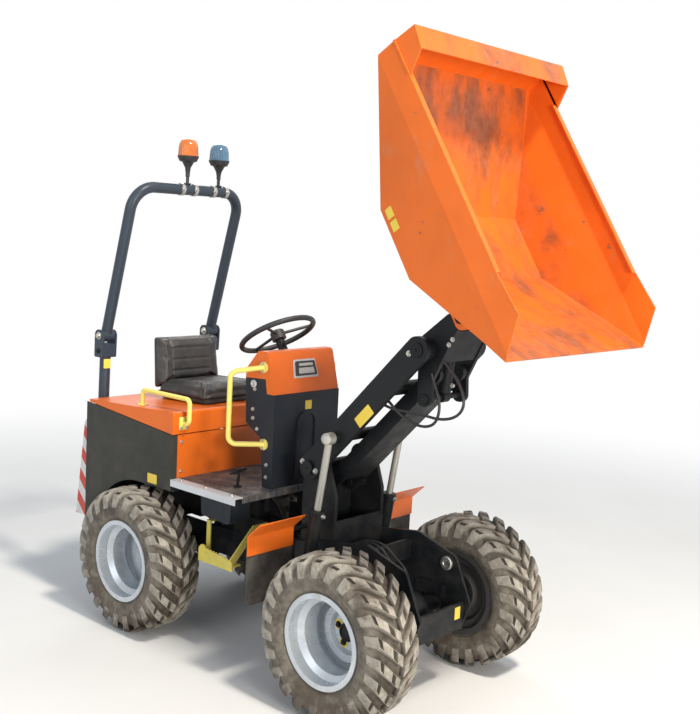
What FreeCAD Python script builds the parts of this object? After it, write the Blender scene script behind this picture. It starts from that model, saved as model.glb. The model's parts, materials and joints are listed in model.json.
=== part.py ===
import FreeCAD, Part
import math
import os

# A one-tonne articulated site dumper with a high-tip skip, in millimetres.
# Working frame while modelling: X forward, Y left, Z up, with the steering
# pivot above x = 0 and the ground at z = 0. Each piece is shifted along X as
# it is written, so that the stored origin is the middle of the footprint.
# The rest position is the working one: arms raised and the skip tipped.

V = FreeCAD.Vector

# Running clearance between pieces that slide, turn or lie on a curved seat
FIT = 0.3
PIN_FIT = 0.05

# Wheels
WHEELBASE = 1435.0
TRACK = 981.0
TYRE_D = 760.0
RIM_FLANGE_D = 425.0
RIM_SEAT_D = 388.6
RIM_W = 230.0
RIM_WELL_DEPTH = 26.0
RIM_SHEET = 6.0
DISC_OFFSET = -84.0
DISC_SHEET = 8.0
DISC_HOLE_R = 45.0
FRONT_TYRE_REAR = (WHEELBASE - TYRE_D) / 2.0

# Tyre carcass and its bar lugs
LUGS = 23
LUG_TOP = 0.17
LUG_FOOT = 0.25
BEAD_HALF = 108.7
# Rings from the tread's middle to the bead: across, base radius, lug radius or None, sweep in lug pitches
TREAD_RINGS = [(0.0, 352.0, None, 0.0), (8.0, 352.0, 380.0, 0.04), (98.0, 342.0, 375.0, 0.80),
               (124.0, 318.0, 352.0, 1.10), (131.0, 284.0, None, 1.22), (BEAD_HALF, 219.5, None, 1.22),
               (BEAD_HALF, 197.0, None, 1.22)]

# Axles
AXLE_R = 46.0
HUB_R = 92.0
HUB_FLANGE = 18.0
DIFF_R = 95.0

# Rear frame
RAIL_Y = 196.0
RAIL_T = 12.0
RAIL_LOW = 420.0
RAIL_HIGH = 560.0
RAIL_FRONT = -150.0
BODY_REAR = -1190.0
BUMPER_REAR = -1265.0
BUMPER_LOW = 470.0
BUMPER_HIGH = 1030.0
BUMPER_HALF = 470.0
PANEL_HALF = 500.0
PANEL_T = 6.0
PANEL_FRONT = -455.0
PANEL_LOW = 465.0
PANEL_SILL = 789.0
PANEL_TOP_REAR = 1145.0
PANEL_TOP_FRONT = 1076.0
PANEL_RETURN = 40.0

# Floor and console
FLOOR_Z = 850.0
FLOOR_T = 12.0
FLOOR_FRONT = 30.0
EDGE_W = 55.0
EDGE_H = 34.0
CONSOLE_HALF = 233.0
CONSOLE_T = 5.0
CONSOLE_TOP = 1322.0
DASH_LOW = 1388.0
COVER_TOP = 1530.0
WHEEL_X = -235.0
WHEEL_TOP = 1590.0
WHEEL_RAKE = 32.0
WHEEL_R = 195.0
WHEEL_GRIP_R = 14.0
COLUMN_R = 24.0
COLUMN_LENGTH = 165.0
HANDLE_REACH = 138.0
STEP_HANGER_T = 8.0

# Engine cover, seat and roll bar
HOOD_HALF = 497.0
HOOD_T = 6.0
HOOD_REAR = -1170.0
HOOD_FRONT = -450.0
HOOD_TOP_REAR = 1160.0
HOOD_TOP_FRONT = 1193.0
HOOD_HINGE_X = -1178.0
HOOD_HINGE_Z = 1150.0
HOOD_HINGE_Y = 250.0
HOOD_PIN_R = 5.0
SEAT_X = -760.0
SEAT_HALF = 235.0
SEAT_DEPTH = 430.0
CUSHION_H = 105.0
BAR_R = 30.0
ROPS_HALF = 375.0
ROPS_FOOT_X = -1232.0
ROPS_FOOT_Z = 560.0
ROPS_HINGE_X = -1206.0
ROPS_HINGE_Z = 1500.0
ROPS_TOP_X = -978.0
ROPS_TOP_Z = 2322.0
ROPS_CORNER_R = 130.0

# Steering pivot
PIVOT_R = 30.0
PIVOT_BOSS_R = 58.0
PIVOT_LOW = 390.0
PIVOT_HIGH = 550.0
LUG_T = 22.0

# Steering ram, on the right of the pivot
STEER_BASE_X = -360.0
STEER_BASE_Y = -130.0
STEER_HEAD_X = 40.0
STEER_HEAD_Y = -135.0
STEER_PIN_R = 12.0
STEER_BARREL_R = 24.0
STEER_BARREL_LENGTH = 200.0
STEER_STROKE = 76.0
STEER_ROD_R = 12.0
STEER_EYE_R = 24.0
STEER_EYE_W = 52.0

# Tow hitch behind the counterweight, and tie-down holes in the front plates
HITCH_REACH = 60.0
HITCH_PIN_R = 12.5
HITCH_GAP = 50.0
HITCH_T = 15.0
HITCH_Z = 580.0
TIE_R = 15.0
TIE_AHEAD = 157.5
TIE_Z = 370.0

# Front frame and lift tower
PLATE_Y = 180.0
PLATE_T = 15.0
TOWER_Y = 160.0
TOWER_REAR = 169.0
TOWER_FRONT = 385.0
TOWER_TOP = 1077.0

# Guards stand a set way behind the front tyres
GUARD_BACK = 101.5
GUARD_X = FRONT_TYRE_REAR - GUARD_BACK
GUARD_INNER = 306.0
GUARD_OUTER = 600.0

# Lift arms, in side view
ARM_X = 239.0
ARM_Z = 1007.0
ARM_LENGTH = 885.0
ARM_ANGLE = 46.0
ARM_DEPTH = 121.0
ARM_Y = 195.0
ARM_T = 25.0
ARM_PIN_R = 22.0
RAM_ON_ARM = 242.0
RAM_Y = 265.0
RAM_SHAFT_R = 20.0
RAM_BASE_X = 296.0
RAM_BASE_Z = 469.0
LINK_DX = 10.0
LINK_DZ = -115.0
LINK_Y = 75.0
LINK_T = 25.0
LINK_DEPTH = 72.0
LINK_PIN_R = 15.0

# Lift rams
BARREL_R = 33.0
BARREL_LENGTH = 340.0
LIFT_STROKE = 214.0
OPEN_GAP = 5.0
ROD_R = 17.5
EYE_R = 28.0
EYE_W = 40.0

# Carrier between the arms and the skip
CARRIER_Y = 120.0
CARRIER_T = 20.0
CARRIER_PIN_R = 20.0
HINGE_X = 1040.0
HINGE_Z = 1800.0
HINGE_PIN_R = 18.0
TIP_BASE_X = 850.0
TIP_BASE_Z = 1420.0
TIP_PIN_R = 14.0
TIP_BARREL_R = 30.0
TIP_BARREL_LENGTH = 290.0
TIP_STROKE = 206.0
TIP_ROD_R = 15.0
TIP_EYE_R = 26.0
TIP_EYE_W = 44.0

# Skip, measured with its rim level: u runs forward from the rear rim and
# w up from the rim, then the whole is tipped about its hinge
TIP_ANGLE = 57.9
SKIP_HALF = 551.0
SKIP_TAPER = 56.0
SKIP_CREASE = -100.0
SKIP_SHEET = 6.0
HINGE_U = 995.0
HINGE_W = -476.0
REAR_WALL_W = -96.0
FLOOR_U0 = 521.0
FLOOR_U1 = 843.0
FLOOR_W = -414.0
SLOPE_U = 1242.0
SLOPE_W = -177.0
LIP_U = 1347.0
LIP_W = -120.0
NOSE_U = 1216.0
NOSE_W = 14.0
RIM_U = 1034.0
BOARD_H = 111.0
EAR_Y = 145.0
EAR_T = 20.0

STEER_Z = (PIVOT_LOW + PIVOT_HIGH) / 2.0
WHEEL_Z = TYRE_D / 2.0
FRONT_X = WHEELBASE / 2.0
REAR_X = -WHEELBASE / 2.0


# Plain shapes

def box(x0, x1, y0, y1, z0, z1):
    return Part.makeBox(x1 - x0, y1 - y0, z1 - z0, V(x0, y0, z0))


def rod(start, end, radius):
    axis = end - start
    return Part.makeCylinder(radius, axis.Length, start, axis)


def across(x, z, radius, y0, y1):
    return rod(V(x, y0, z), V(x, y1, z), radius)


def fuse(shapes):
    whole = shapes[0].multiFuse(shapes[1:]) if len(shapes) > 1 else shapes[0]
    return whole.removeSplitter()


def mirrored(shape):
    return shape.mirror(V(0, 0, 0), V(0, 1, 0))


def both_sides(shape):
    return Part.makeCompound([shape, mirrored(shape)])


def corner_edges(points):
    """Edges of a closed outline; each point is (a, b) or (a, b, corner radius)."""
    count = len(points)
    ends = []
    for i in range(count):
        before, here, after = points[i - 1], points[i], points[(i + 1) % count]
        radius = here[2] if len(here) > 2 else 0.0
        p = V(here[0], here[1], 0)
        to_before = (V(before[0], before[1], 0) - p).normalize()
        to_after = (V(after[0], after[1], 0) - p).normalize()
        half = to_before.getAngle(to_after) / 2.0
        if radius <= 0 or abs(half - math.pi / 2.0) < 1e-6:
            ends.append((p, None, p))
            continue
        run = radius / math.tan(half)
        middle = (to_before + to_after).normalize()
        reach = radius / math.sin(half) - radius
        ends.append((p + to_before * run, p + middle * reach, p + to_after * run))
    edges = []
    for i in range(count):
        first, middle, last = ends[i]
        if middle is not None:
            edges.append(Part.Arc(first, middle, last).toShape())
        following = ends[(i + 1) % count][0]
        if (following - last).Length > 1e-6:
            edges.append(Part.makeLine(last, following))
    return edges


def plate_xz(points, y0, y1):
    """A side-view outline of (x, z, radius) points, made solid from y0 to y1."""
    wire = Part.Wire(Part.__sortEdges__(corner_edges(points)))
    wire.rotate(V(0, 0, 0), V(1, 0, 0), 90)
    wire.translate(V(0, y0, 0))
    return Part.Face(wire).extrude(V(0, y1 - y0, 0))


def plate_yz(points, x0, x1):
    """A front-view outline of (y, z, radius) points, made solid from x0 to x1."""
    wire = Part.Wire(Part.__sortEdges__(corner_edges(points)))
    wire.rotate(V(0, 0, 0), V(1, 1, 1), 120)
    wire.translate(V(x0, 0, 0))
    return Part.Face(wire).extrude(V(x1 - x0, 0, 0))


def plate_xy(points, z0, z1):
    """A plan-view outline of (x, y, radius) points, made solid from z0 to z1."""
    wire = Part.Wire(Part.__sortEdges__(corner_edges(points)))
    wire.translate(V(0, 0, z0))
    return Part.Face(wire).extrude(V(0, 0, z1 - z0))


def bent_bar(points, radius, bend):
    """A round bar along straight runs joined by arcs of one bend radius."""
    edges = []
    start = points[0]
    for i in range(1, len(points) - 1):
        here = points[i]
        back = (points[i - 1] - here).normalize()
        on = (points[i + 1] - here).normalize()
        half = back.getAngle(on) / 2.0
        run = bend / math.tan(half)
        reach = bend / math.sin(half) - bend
        middle = here + (back + on).normalize() * reach
        edges.append(Part.makeLine(start, here + back * run))
        edges.append(Part.Arc(here + back * run, middle, here + on * run).toShape())
        start = here + on * run
    edges.append(Part.makeLine(start, points[-1]))
    path = Part.Wire(edges)
    first = (points[1] - points[0]).normalize()
    circle = Part.Wire(Part.Circle(points[0], first, radius).toShape())
    return path.makePipeShell([circle], True, False)


def turned(points, origin, axis):
    """A profile of (along axis, radius, corner) points turned about the axis."""
    wire = Part.Wire(Part.__sortEdges__(corner_edges(points)))
    solid = Part.Face(wire).revolve(V(0, 0, 0), V(1, 0, 0), 360)
    solid.Placement = FreeCAD.Placement(origin, FreeCAD.Rotation(V(1, 0, 0), axis))
    return solid


def eye(x, z, y, outer, width, bore):
    ring = across(x, z, outer, y - width / 2.0, y + width / 2.0)
    return ring.cut(across(x, z, bore, y - width, y + width))


nodes = {}


def keep(name, shape):
    nodes[name] = shape


def on_arm(along, perp=0.0):
    """A side-view point measured from the arm's lower pivot."""
    a = math.radians(ARM_ANGLE)
    x = ARM_X + along * math.cos(a) - perp * math.sin(a)
    z = ARM_Z + along * math.sin(a) + perp * math.cos(a)
    return x, z


# Wheels

def tread_ring(row, side):
    """Points round one ring as (place in lug pitches, point); a ring on the lugs steps up and down."""
    across_at, base, top, sweep = TREAD_RINGS[row]
    shift = 0.0 if side > 0 else 0.5
    count = 2 * LUGS if row == 0 else LUGS
    steps = [(0.0, base)]
    if top is not None:
        steps = [(-LUG_FOOT, base), (-LUG_TOP, top), (LUG_TOP, top), (LUG_FOOT, base)]
    if row == 0:
        shift = 0.0
    ring = []
    for i in range(count):
        for offset, radius in steps:
            place = i * LUGS / count + shift + offset
            angle = 2 * math.pi * (place + sweep) / LUGS
            ring.append((place, V(radius * math.cos(angle), side * across_at, radius * math.sin(angle))))
    return ring


def stitched(first, second):
    """Triangles between two closed rings, walking round both by their place."""
    faces = []
    i = 0
    j = 0
    n = len(first)
    m = len(second)
    while i < n or j < m:
        next_i = first[(i + 1) % n][0] + LUGS * ((i + 1) // n)
        next_j = second[(j + 1) % m][0] + LUGS * ((j + 1) // m)
        a = first[i % n][1]
        b = second[j % m][1]
        if j >= m or (i < n and next_i <= next_j):
            faces.append((a, first[(i + 1) % n][1], b))
            i += 1
        else:
            faces.append((a, second[(j + 1) % m][1], b))
            j += 1
    return faces


def tyre():
    """Ring of flat faces about the Y axis: two halves of swept lugs that meet at the tread's middle."""
    faces = []
    beads = []
    for side in (-1, 1):
        rings = [tread_ring(row, side) for row in range(len(TREAD_RINGS))]
        for one, two in zip(rings, rings[1:]):
            found = stitched(one, two)
            faces += found if side > 0 else [(a, c, b) for a, b, c in found]
        beads.append(rings[-1])
    faces += stitched(beads[1], beads[0])
    places = {}
    points = []
    corners = []
    for face in faces:
        row = []
        for p in face:
            key = (round(p.x, 4), round(p.y, 4), round(p.z, 4))
            if key not in places:
                places[key] = len(points)
                points.append(p)
            row.append(places[key])
        corners.append(tuple(row))
    shell = Part.Shape()
    shell.makeShapeFromMesh((points, corners), 0.001)
    return Part.Solid(shell.Shells[0])


def rim():
    half = RIM_W / 2.0
    flange = RIM_FLANGE_D / 2.0
    seat = RIM_SEAT_D / 2.0
    well = seat - RIM_WELL_DEPTH
    t = RIM_SHEET
    return [(-half, flange), (-half + t, flange), (-half + t, seat), (-62, seat), (-42, well), (42, well),
            (62, seat), (half - t, seat), (half - t, flange), (half, flange), (half, seat - t),
            (60, seat - t), (40, well - t), (-40, well - t), (-60, seat - t), (-half, seat - t)]


def disc():
    seat = RIM_SEAT_D / 2.0 - RIM_SHEET + 1.0
    d = DISC_OFFSET
    t = DISC_SHEET
    return [(d, seat), (d, 152), (d + 20, 138), (d + 20, 104), (d, 90), (d, DISC_HOLE_R),
            (d - t, DISC_HOLE_R), (d - t, 92), (d + 20 - t, 106), (d + 20 - t, 136), (d - t, 150), (d - t, seat)]


WHEELS = [("front_right", FRONT_X, -1), ("front_left", FRONT_X, 1),
          ("rear_right", REAR_X, -1), ("rear_left", REAR_X, 1)]


def make_wheels():
    tread = tyre()
    for name, x, side in WHEELS:
        centre = V(x, side * TRACK / 2.0, WHEEL_Z)
        outward = V(0, side, 0)
        placed = tread.copy() if side > 0 else tread.mirror(V(0, 0, 0), V(0, 1, 0))
        placed.translate(centre)
        keep("tyre_" + name, placed)
        keep("rim_" + name, fuse([turned(rim(), centre, outward), turned(disc(), centre, outward)]))


def axle(x):
    """A drive axle with a differential bulge and a hub at each end."""
    face = TRACK / 2.0 + DISC_OFFSET - DISC_SHEET - 0.5
    pieces = [across(x, WHEEL_Z, AXLE_R, -face + HUB_FLANGE, face - HUB_FLANGE)]
    pieces.append(Part.makeSphere(DIFF_R, V(x, 0, WHEEL_Z)))
    for side in (-1, 1):
        hub = [(face - 70, AXLE_R - 4), (face - 70, 64), (face - HUB_FLANGE, 72),
               (face - HUB_FLANGE, HUB_R), (face, HUB_R), (face, DISC_HOLE_R - 1),
               (face + 26, DISC_HOLE_R - 1), (face + 26, 0), (face - 70, 0)]
        pieces.append(turned(hub, V(x, 0, WHEEL_Z), V(0, side, 0)))
    return fuse(pieces)


# Rear frame

def rear_chassis():
    y0 = RAIL_Y - RAIL_T
    rail = plate_xz([(BODY_REAR, RAIL_LOW + 60), (-1000, RAIL_LOW + 60, 40), (-940, RAIL_LOW, 40),
                     (RAIL_FRONT, RAIL_LOW), (RAIL_FRONT, RAIL_HIGH), (BODY_REAR, RAIL_HIGH)], y0, RAIL_Y)
    rail = rail.cut(across(REAR_X, WHEEL_Z, AXLE_R + 14, y0 - 1, RAIL_Y + 1))
    pieces = [rail, mirrored(rail)]
    for x in (BODY_REAR, -930.0, -430.0):
        pieces.append(box(x, x + RAIL_T, -y0, y0, RAIL_LOW + 60, RAIL_HIGH))
    pieces.append(box(RAIL_FRONT - RAIL_T, RAIL_FRONT, -y0, y0, RAIL_LOW, RAIL_HIGH))
    # Neck that carries the steering pivot's tube
    for z in (PIVOT_LOW + 24, PIVOT_HIGH - 24 - LUG_T):
        neck = plate_xy([(RAIL_FRONT - RAIL_T, -150), (RAIL_FRONT - RAIL_T, 150), (RAIL_FRONT + 10, 150, 30),
                         (-PIVOT_BOSS_R, 50, 20), (0, 50), (0, -50), (-PIVOT_BOSS_R, -50, 20),
                         (RAIL_FRONT + 10, -150, 30)], z, z + LUG_T)
        pieces.append(neck)
    pieces.append(Part.makeCylinder(PIVOT_BOSS_R, PIVOT_HIGH - PIVOT_LOW, V(0, 0, PIVOT_LOW)))
    # Axle saddles
    for side in (-1, 1):
        y = side * (RAIL_Y - RAIL_T / 2.0)
        pieces.append(box(REAR_X - 80, REAR_X + 80, y - 30, y + 30, WHEEL_Z + AXLE_R + FIT, RAIL_LOW + 40))
    # Uprights under the floor and the engine cover, and arms out to the side panels
    deck = FLOOR_Z - FLOOR_T
    arm = FLOOR_Z - EDGE_H
    for x in (BODY_REAR + 20, PANEL_FRONT - 15, RAIL_FRONT - 40):
        for side in (-1, 1):
            span = sorted((side * (RAIL_Y - RAIL_T), side * (RAIL_Y - RAIL_T - 30)))
            pieces.append(box(x, x + 30, *span, RAIL_HIGH - 10, deck))
    for x in (BODY_REAR + 20, PANEL_FRONT - 15):
        for side in (-1, 1):
            span = sorted((side * (RAIL_Y - RAIL_T), side * (PANEL_HALF - PANEL_T)))
            pieces.append(box(x, x + 30, *span, arm - 30, arm))
    # Bracket and pin for the steering ram's fixed end
    gap = STEER_EYE_W / 2.0 + FIT
    for z in (STEER_Z - gap - 10, STEER_Z + gap):
        pieces.append(box(STEER_BASE_X - 30, STEER_BASE_X + 30, -y0, STEER_BASE_Y + 30, z, z + 10))
    pieces.append(Part.makeCylinder(STEER_PIN_R, 2 * gap + 18, V(STEER_BASE_X, STEER_BASE_Y, STEER_Z - gap - 9)))
    for side in (-1, 1):
        hanger = sorted((side * (RAIL_Y - 1), side * (RAIL_Y + STEP_HANGER_T)))
        pieces.append(box(-290, -42, *hanger, 500, 668))
    window = box(RAIL_FRONT - RAIL_T - 1, RAIL_FRONT + 1, -y0 + 4, STEER_BASE_Y + 60,
                 STEER_Z - STEER_BARREL_R - 10, STEER_Z + STEER_BARREL_R + 10)
    whole = fuse(pieces).cut(window)
    return whole.cut(Part.makeCylinder(PIVOT_R + FIT, PIVOT_HIGH, V(0, 0, PIVOT_LOW - 50)))


def counterweight():
    slab = plate_xy([(BUMPER_REAR, -BUMPER_HALF, 40), (BODY_REAR - FIT, -BUMPER_HALF), (BODY_REAR - FIT, BUMPER_HALF),
                     (BUMPER_REAR, BUMPER_HALF, 40)], BUMPER_LOW, BUMPER_HIGH)
    # Slots for the roll bar's feet
    half = BAR_R + FIT
    for side in (-1, 1):
        slab = slab.cut(box(ROPS_FOOT_X - half - 1, BODY_REAR, side * ROPS_HALF - half, side * ROPS_HALF + half,
                            ROPS_FOOT_Z - 1, BUMPER_HIGH + 10))
    pieces = [slab]
    for z in (HITCH_Z - HITCH_GAP / 2.0 - HITCH_T, HITCH_Z + HITCH_GAP / 2.0):
        pieces.append(plate_xy([(BUMPER_REAR + 1, -45), (BUMPER_REAR + 1, 45), (BUMPER_REAR - HITCH_REACH, 34, 30),
                                (BUMPER_REAR - HITCH_REACH, -34, 30)], z, z + HITCH_T))
    pin = Part.makeCylinder(HITCH_PIN_R, 2 * HITCH_T + HITCH_GAP + 2,
                            V(BUMPER_REAR - HITCH_REACH / 2.0, 0, HITCH_Z - HITCH_GAP / 2.0 - HITCH_T - 1))
    return fuse(pieces).cut(pin)


def hood_hinges():
    """Two brackets on the counterweight with the cover's hinge pins."""
    y = HOOD_HINGE_Y
    x = HOOD_HINGE_X
    arm = plate_xz([(BODY_REAR - 34, BUMPER_HIGH), (BODY_REAR - 4, BUMPER_HIGH), (x + 7, HOOD_HINGE_Z - 6),
                    (x + 7, HOOD_HINGE_Z + 6, 5), (x - 7, HOOD_HINGE_Z + 6, 5)], y - 22, y - 12)
    return both_sides(fuse([arm, across(x, HOOD_HINGE_Z, HOOD_PIN_R, y - 21, y + 20)]))


def rear_panel():
    """The sheet between the counterweight and the engine cover, with air slots."""
    half = PANEL_HALF - PANEL_T
    x = BODY_REAR + 22
    sheet = box(x, x + PANEL_T, -half, half, BUMPER_HIGH - 60, HOOD_HINGE_Z - 20)
    slots = [box(x - 1, x + PANEL_T + 1, -170, 170, z, z + 9) for z in (1040, 1060, 1080, 1100)]
    return sheet.cut(fuse(slots))


def side_panel():
    """Side sheet with its lower edge arched over the rear tyre."""
    arch_r = PANEL_SILL - WHEEL_Z
    half = arch_r * math.sqrt(0.5)
    foot_x = REAR_X - math.sqrt(arch_r ** 2 - (WHEEL_Z - PANEL_LOW) ** 2)
    corners = [V(REAR_X, PANEL_SILL, 0), V(PANEL_FRONT, PANEL_SILL, 0), V(PANEL_FRONT, PANEL_TOP_FRONT, 0),
               V(BODY_REAR, PANEL_TOP_REAR, 0), V(BODY_REAR, PANEL_LOW, 0), V(foot_x, PANEL_LOW, 0)]
    outline = [Part.makeLine(corners[i], corners[i + 1]) for i in range(len(corners) - 1)]
    outline.append(Part.Arc(corners[-1], V(REAR_X - half, WHEEL_Z + half, 0), corners[0]).toShape())
    wire = Part.Wire(outline)
    wire.rotate(V(0, 0, 0), V(1, 0, 0), 90)
    wire.translate(V(0, PANEL_HALF - PANEL_T, 0))
    sheet = Part.Face(wire).extrude(V(0, PANEL_T, 0))
    lip = box(PANEL_FRONT - PANEL_T, PANEL_FRONT, PANEL_HALF - PANEL_RETURN, PANEL_HALF - PANEL_T + 1,
              FLOOR_Z, PANEL_TOP_FRONT)
    return fuse([sheet, lip])


def front_panel():
    """The sheet below the engine cover's front edge, behind the driver's legs."""
    half = PANEL_HALF - PANEL_RETURN - FIT
    sheet = box(PANEL_FRONT - PANEL_T, PANEL_FRONT, -half, half, FLOOR_Z + FIT, PANEL_TOP_FRONT - 2)
    return sheet


def floor_plate():
    half = PANEL_HALF - EDGE_W - FIT
    deck = box(PANEL_FRONT - 60, FLOOR_FRONT, -half, half, FLOOR_Z - FLOOR_T, FLOOR_Z)
    lip = box(FLOOR_FRONT - 6, FLOOR_FRONT, -half, half, FLOOR_Z - 30, FLOOR_Z)
    return fuse([deck, lip])


def floor_edges():
    strip = box(PANEL_FRONT + FIT, FLOOR_FRONT, PANEL_HALF - EDGE_W, PANEL_HALF, FLOOR_Z - EDGE_H, FLOOR_Z)
    hollow = box(PANEL_FRONT, FLOOR_FRONT + 1, PANEL_HALF - EDGE_W - 1, PANEL_HALF - 5,
                 FLOOR_Z - EDGE_H - 1, FLOOR_Z - 5)
    return both_sides(strip.cut(hollow))


def console_body():
    """Folded column that carries the dashboard cover, with a raised arch on its face."""
    t = CONSOLE_T
    outer = [(-64, FLOOR_Z), (0, FLOOR_Z), (0, CONSOLE_TOP), (-55, CONSOLE_TOP), (-68, DASH_LOW + 6),
             (-212, DASH_LOW - 2), (-200, 1160, 16), (-86, 1094, 16)]
    inner = [(-58, FLOOR_Z + t), (-t, FLOOR_Z + t), (-t, CONSOLE_TOP - t), (-60, CONSOLE_TOP - t),
             (-72, DASH_LOW + 1), (-206, DASH_LOW - 7), (-194, 1163, 12), (-80, 1097, 12)]
    shell = plate_xz(outer, -CONSOLE_HALF, CONSOLE_HALF)
    hollow = plate_xz(inner, -CONSOLE_HALF + t, CONSOLE_HALF - t)
    low = FLOOR_Z + 30
    rib = plate_yz([(-70, low), (-70, 1225, 60), (70, 1225, 60), (70, low), (56, low), (56, 1211, 46),
                    (-56, 1211, 46), (-56, low)], -1, 8)
    return fuse([shell.cut(hollow), rib])


def console_cover():
    """Orange dashboard cover that wraps over the column's top."""
    t = CONSOLE_T
    top = COVER_TOP
    outer = [(-5, CONSOLE_TOP), (-60, top, 24), (-126, top, 30), (-210, 1432, 14), (-212, DASH_LOW - 2 + FIT),
             (-68, DASH_LOW + 6 + FIT), (-55 + FIT, CONSOLE_TOP)]
    inner = [(-5 - t, CONSOLE_TOP - 1), (-63, top - t, 19), (-124, top - t, 25), (-204, 1430, 9),
             (-206, DASH_LOW - 12), (-30, DASH_LOW - 12), (-30, CONSOLE_TOP - 1)]
    shell = plate_xz(outer, -CONSOLE_HALF, CONSOLE_HALF)
    shell = shell.cut(plate_xz(inner, -CONSOLE_HALF + t, CONSOLE_HALF - t))
    hub, up = wheel_axis()
    return shell.cut(rod(hub - up * COLUMN_LENGTH, hub, COLUMN_R + FIT))


def wheel_axis():
    rake = math.radians(WHEEL_RAKE)
    return V(WHEEL_X, 0, WHEEL_TOP), V(-math.sin(rake), 0, math.cos(rake))


def steering_wheel():
    """Rim, three spokes and a hub on a raked column."""
    hub, up = wheel_axis()
    pieces = [Part.makeTorus(WHEEL_R, WHEEL_GRIP_R, hub, up), rod(hub - up * 30, hub + up * 12, 38)]
    side = V(0, 1, 0)
    fore = up.cross(side)
    for angle in (90, 210, 330):
        a = math.radians(angle)
        tip_point = hub + (side * math.cos(a) + fore * math.sin(a)) * (WHEEL_R - 5)
        pieces.append(rod(hub, tip_point, 8))
    return fuse(pieces)


def steering_column():
    hub, up = wheel_axis()
    return rod(hub - up * COLUMN_LENGTH, hub - up * (30 + FIT), COLUMN_R)


def grab_handles():
    """A bent tube each side of the console, on flanged feet."""
    y = CONSOLE_HALF + FIT
    out = y + HANDLE_REACH
    high = 1452.0
    low = 1068.0
    path = [V(-82, y, high), V(-175, out, high - 24), V(-175, out, low), V(-62, y, low)]
    bar = bent_bar(path, 13, 42)
    flanges = [rod(path[0], path[0] + V(0, 8, 0), 28), rod(path[3], path[3] + V(0, 8, 0), 28)]
    return both_sides(fuse([bar] + flanges).common(box(-400, 400, y, y + 400, 800, 1600)))


def side_steps():
    """A stirrup with a toothed tread below each side of the floor."""
    teeth = 9
    outline = [(-30, 465), (-30, 512), (-48, 516)]
    for i in range(teeth):
        x = -50 - i * 20.0
        z = 522 + i * 2.5
        outline += [(x, z), (x - 10, z - 8)]
    outline += [(-240, 552), (-262, 552, 16), (-280, 530, 12), (-280, 465)]
    tread = plate_xz(outline, 440, 448)
    shelf = box(-268, -40, 380, 440, 480, 488)
    inner = RAIL_Y + STEP_HANGER_T + FIT
    rear_arm = box(-272, -244, 398, 406, 480, 668)
    rear_top = box(-272, -244, inner, 406, 660, 668)
    front_arm = plate_yz([(448, 466), (448, 520), (300, 668), (inner, 668), (inner, 620), (290, 620)], -50, -42)
    return both_sides(fuse([tread, shelf, rear_arm, rear_top, front_arm]))


def pedal():
    """The travel pedal on its stalk, ahead of the driver's right foot."""
    x = -140.0
    y = -330.0
    stalk = rod(V(x, y, FLOOR_Z + 2), V(x + 12, y, FLOOR_Z + 84), 7)
    foot = rod(V(x, y, FLOOR_Z), V(x, y, FLOOR_Z + 8), 20)
    pad = plate_xz([(x - 20, FLOOR_Z + 62), (x + 34, FLOOR_Z + 92), (x + 31, FLOOR_Z + 99), (x - 24, FLOOR_Z + 69)],
                   y - 32, y + 32)
    return fuse([stalk, foot, pad])


def engine_block():
    return box(-1090, -620, -150, 150, RAIL_HIGH + FIT, 980)


def tank():
    """The dark box below the right of the floor."""
    high = FLOOR_Z - FLOOR_T
    return plate_xz([(-272, 700, 20), (-62, 690, 20), (-50, high), (-284, high)], -444, -318)


def battery_box():
    """The battery box below the left of the floor."""
    high = FLOOR_Z - FLOOR_T
    return plate_xz([(-300, 690, 20), (-90, 690, 20), (-90, high), (-300, high)], 230, 444)


# Roll bar, lower and upper, with beacons

def rops_posts():
    pieces = []
    for side in (-1, 1):
        y = side * ROPS_HALF
        foot = V(ROPS_FOOT_X, y, ROPS_FOOT_Z)
        top = V(ROPS_HINGE_X, y, ROPS_HINGE_Z)
        along = (top - foot).normalize()
        pieces.append(rod(foot, top - along * 40, BAR_R))
        cheek = plate_xz([(ROPS_HINGE_X - 42, ROPS_HINGE_Z - 120, 10), (ROPS_HINGE_X + 34, ROPS_HINGE_Z - 120, 10),
                          (ROPS_HINGE_X + 40, ROPS_HINGE_Z + 34, 34), (ROPS_HINGE_X - 40, ROPS_HINGE_Z + 34, 34)],
                         y - 46, y + 46)
        slot = box(ROPS_HINGE_X - 80, ROPS_HINGE_X + 80, y - 37, y + 37, ROPS_HINGE_Z - 44, ROPS_HINGE_Z + 80)
        pieces.append(cheek.cut(slot))
        pieces.append(across(ROPS_HINGE_X, ROPS_HINGE_Z, 11, y - 46, y + 46))
    return fuse(pieces[:3]), fuse(pieces[3:])


def rops_hoop():
    side_dir = V(ROPS_TOP_X - ROPS_HINGE_X, 0, ROPS_TOP_Z - ROPS_HINGE_Z)
    feet = [V(ROPS_HINGE_X, s * ROPS_HALF, ROPS_HINGE_Z) for s in (-1, 1)]
    tops = [foot + side_dir for foot in feet]
    bar = bent_bar([feet[0], tops[0], tops[1], feet[1]], BAR_R, ROPS_CORNER_R)
    pieces = [bar]
    for side in (-1, 1):
        y = side * ROPS_HALF
        pieces.append(across(ROPS_HINGE_X, ROPS_HINGE_Z, 34, y - 36, y + 36))
    whole = fuse(pieces)
    for side in (-1, 1):
        y = side * ROPS_HALF
        whole = whole.cut(across(ROPS_HINGE_X, ROPS_HINGE_Z, 11 + PIN_FIT, y - 60, y + 60))
    return whole


def beacon(y, height, stem):
    """Clamp, stem and lamp of a warning beacon on the crossbar."""
    x = ROPS_TOP_X
    z = ROPS_TOP_Z + BAR_R + FIT
    profile = [(0, 0), (0, 20), (6, 20), (6, 9), (stem, 9), (stem, 44, 4), (stem + 28, 60, 6),
               (stem + 46, 60, 3), (height - 34, 54, 8), (height, 40, 20), (height, 0)]
    return turned(profile, V(x, y, z), V(0, 0, 1))


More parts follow.
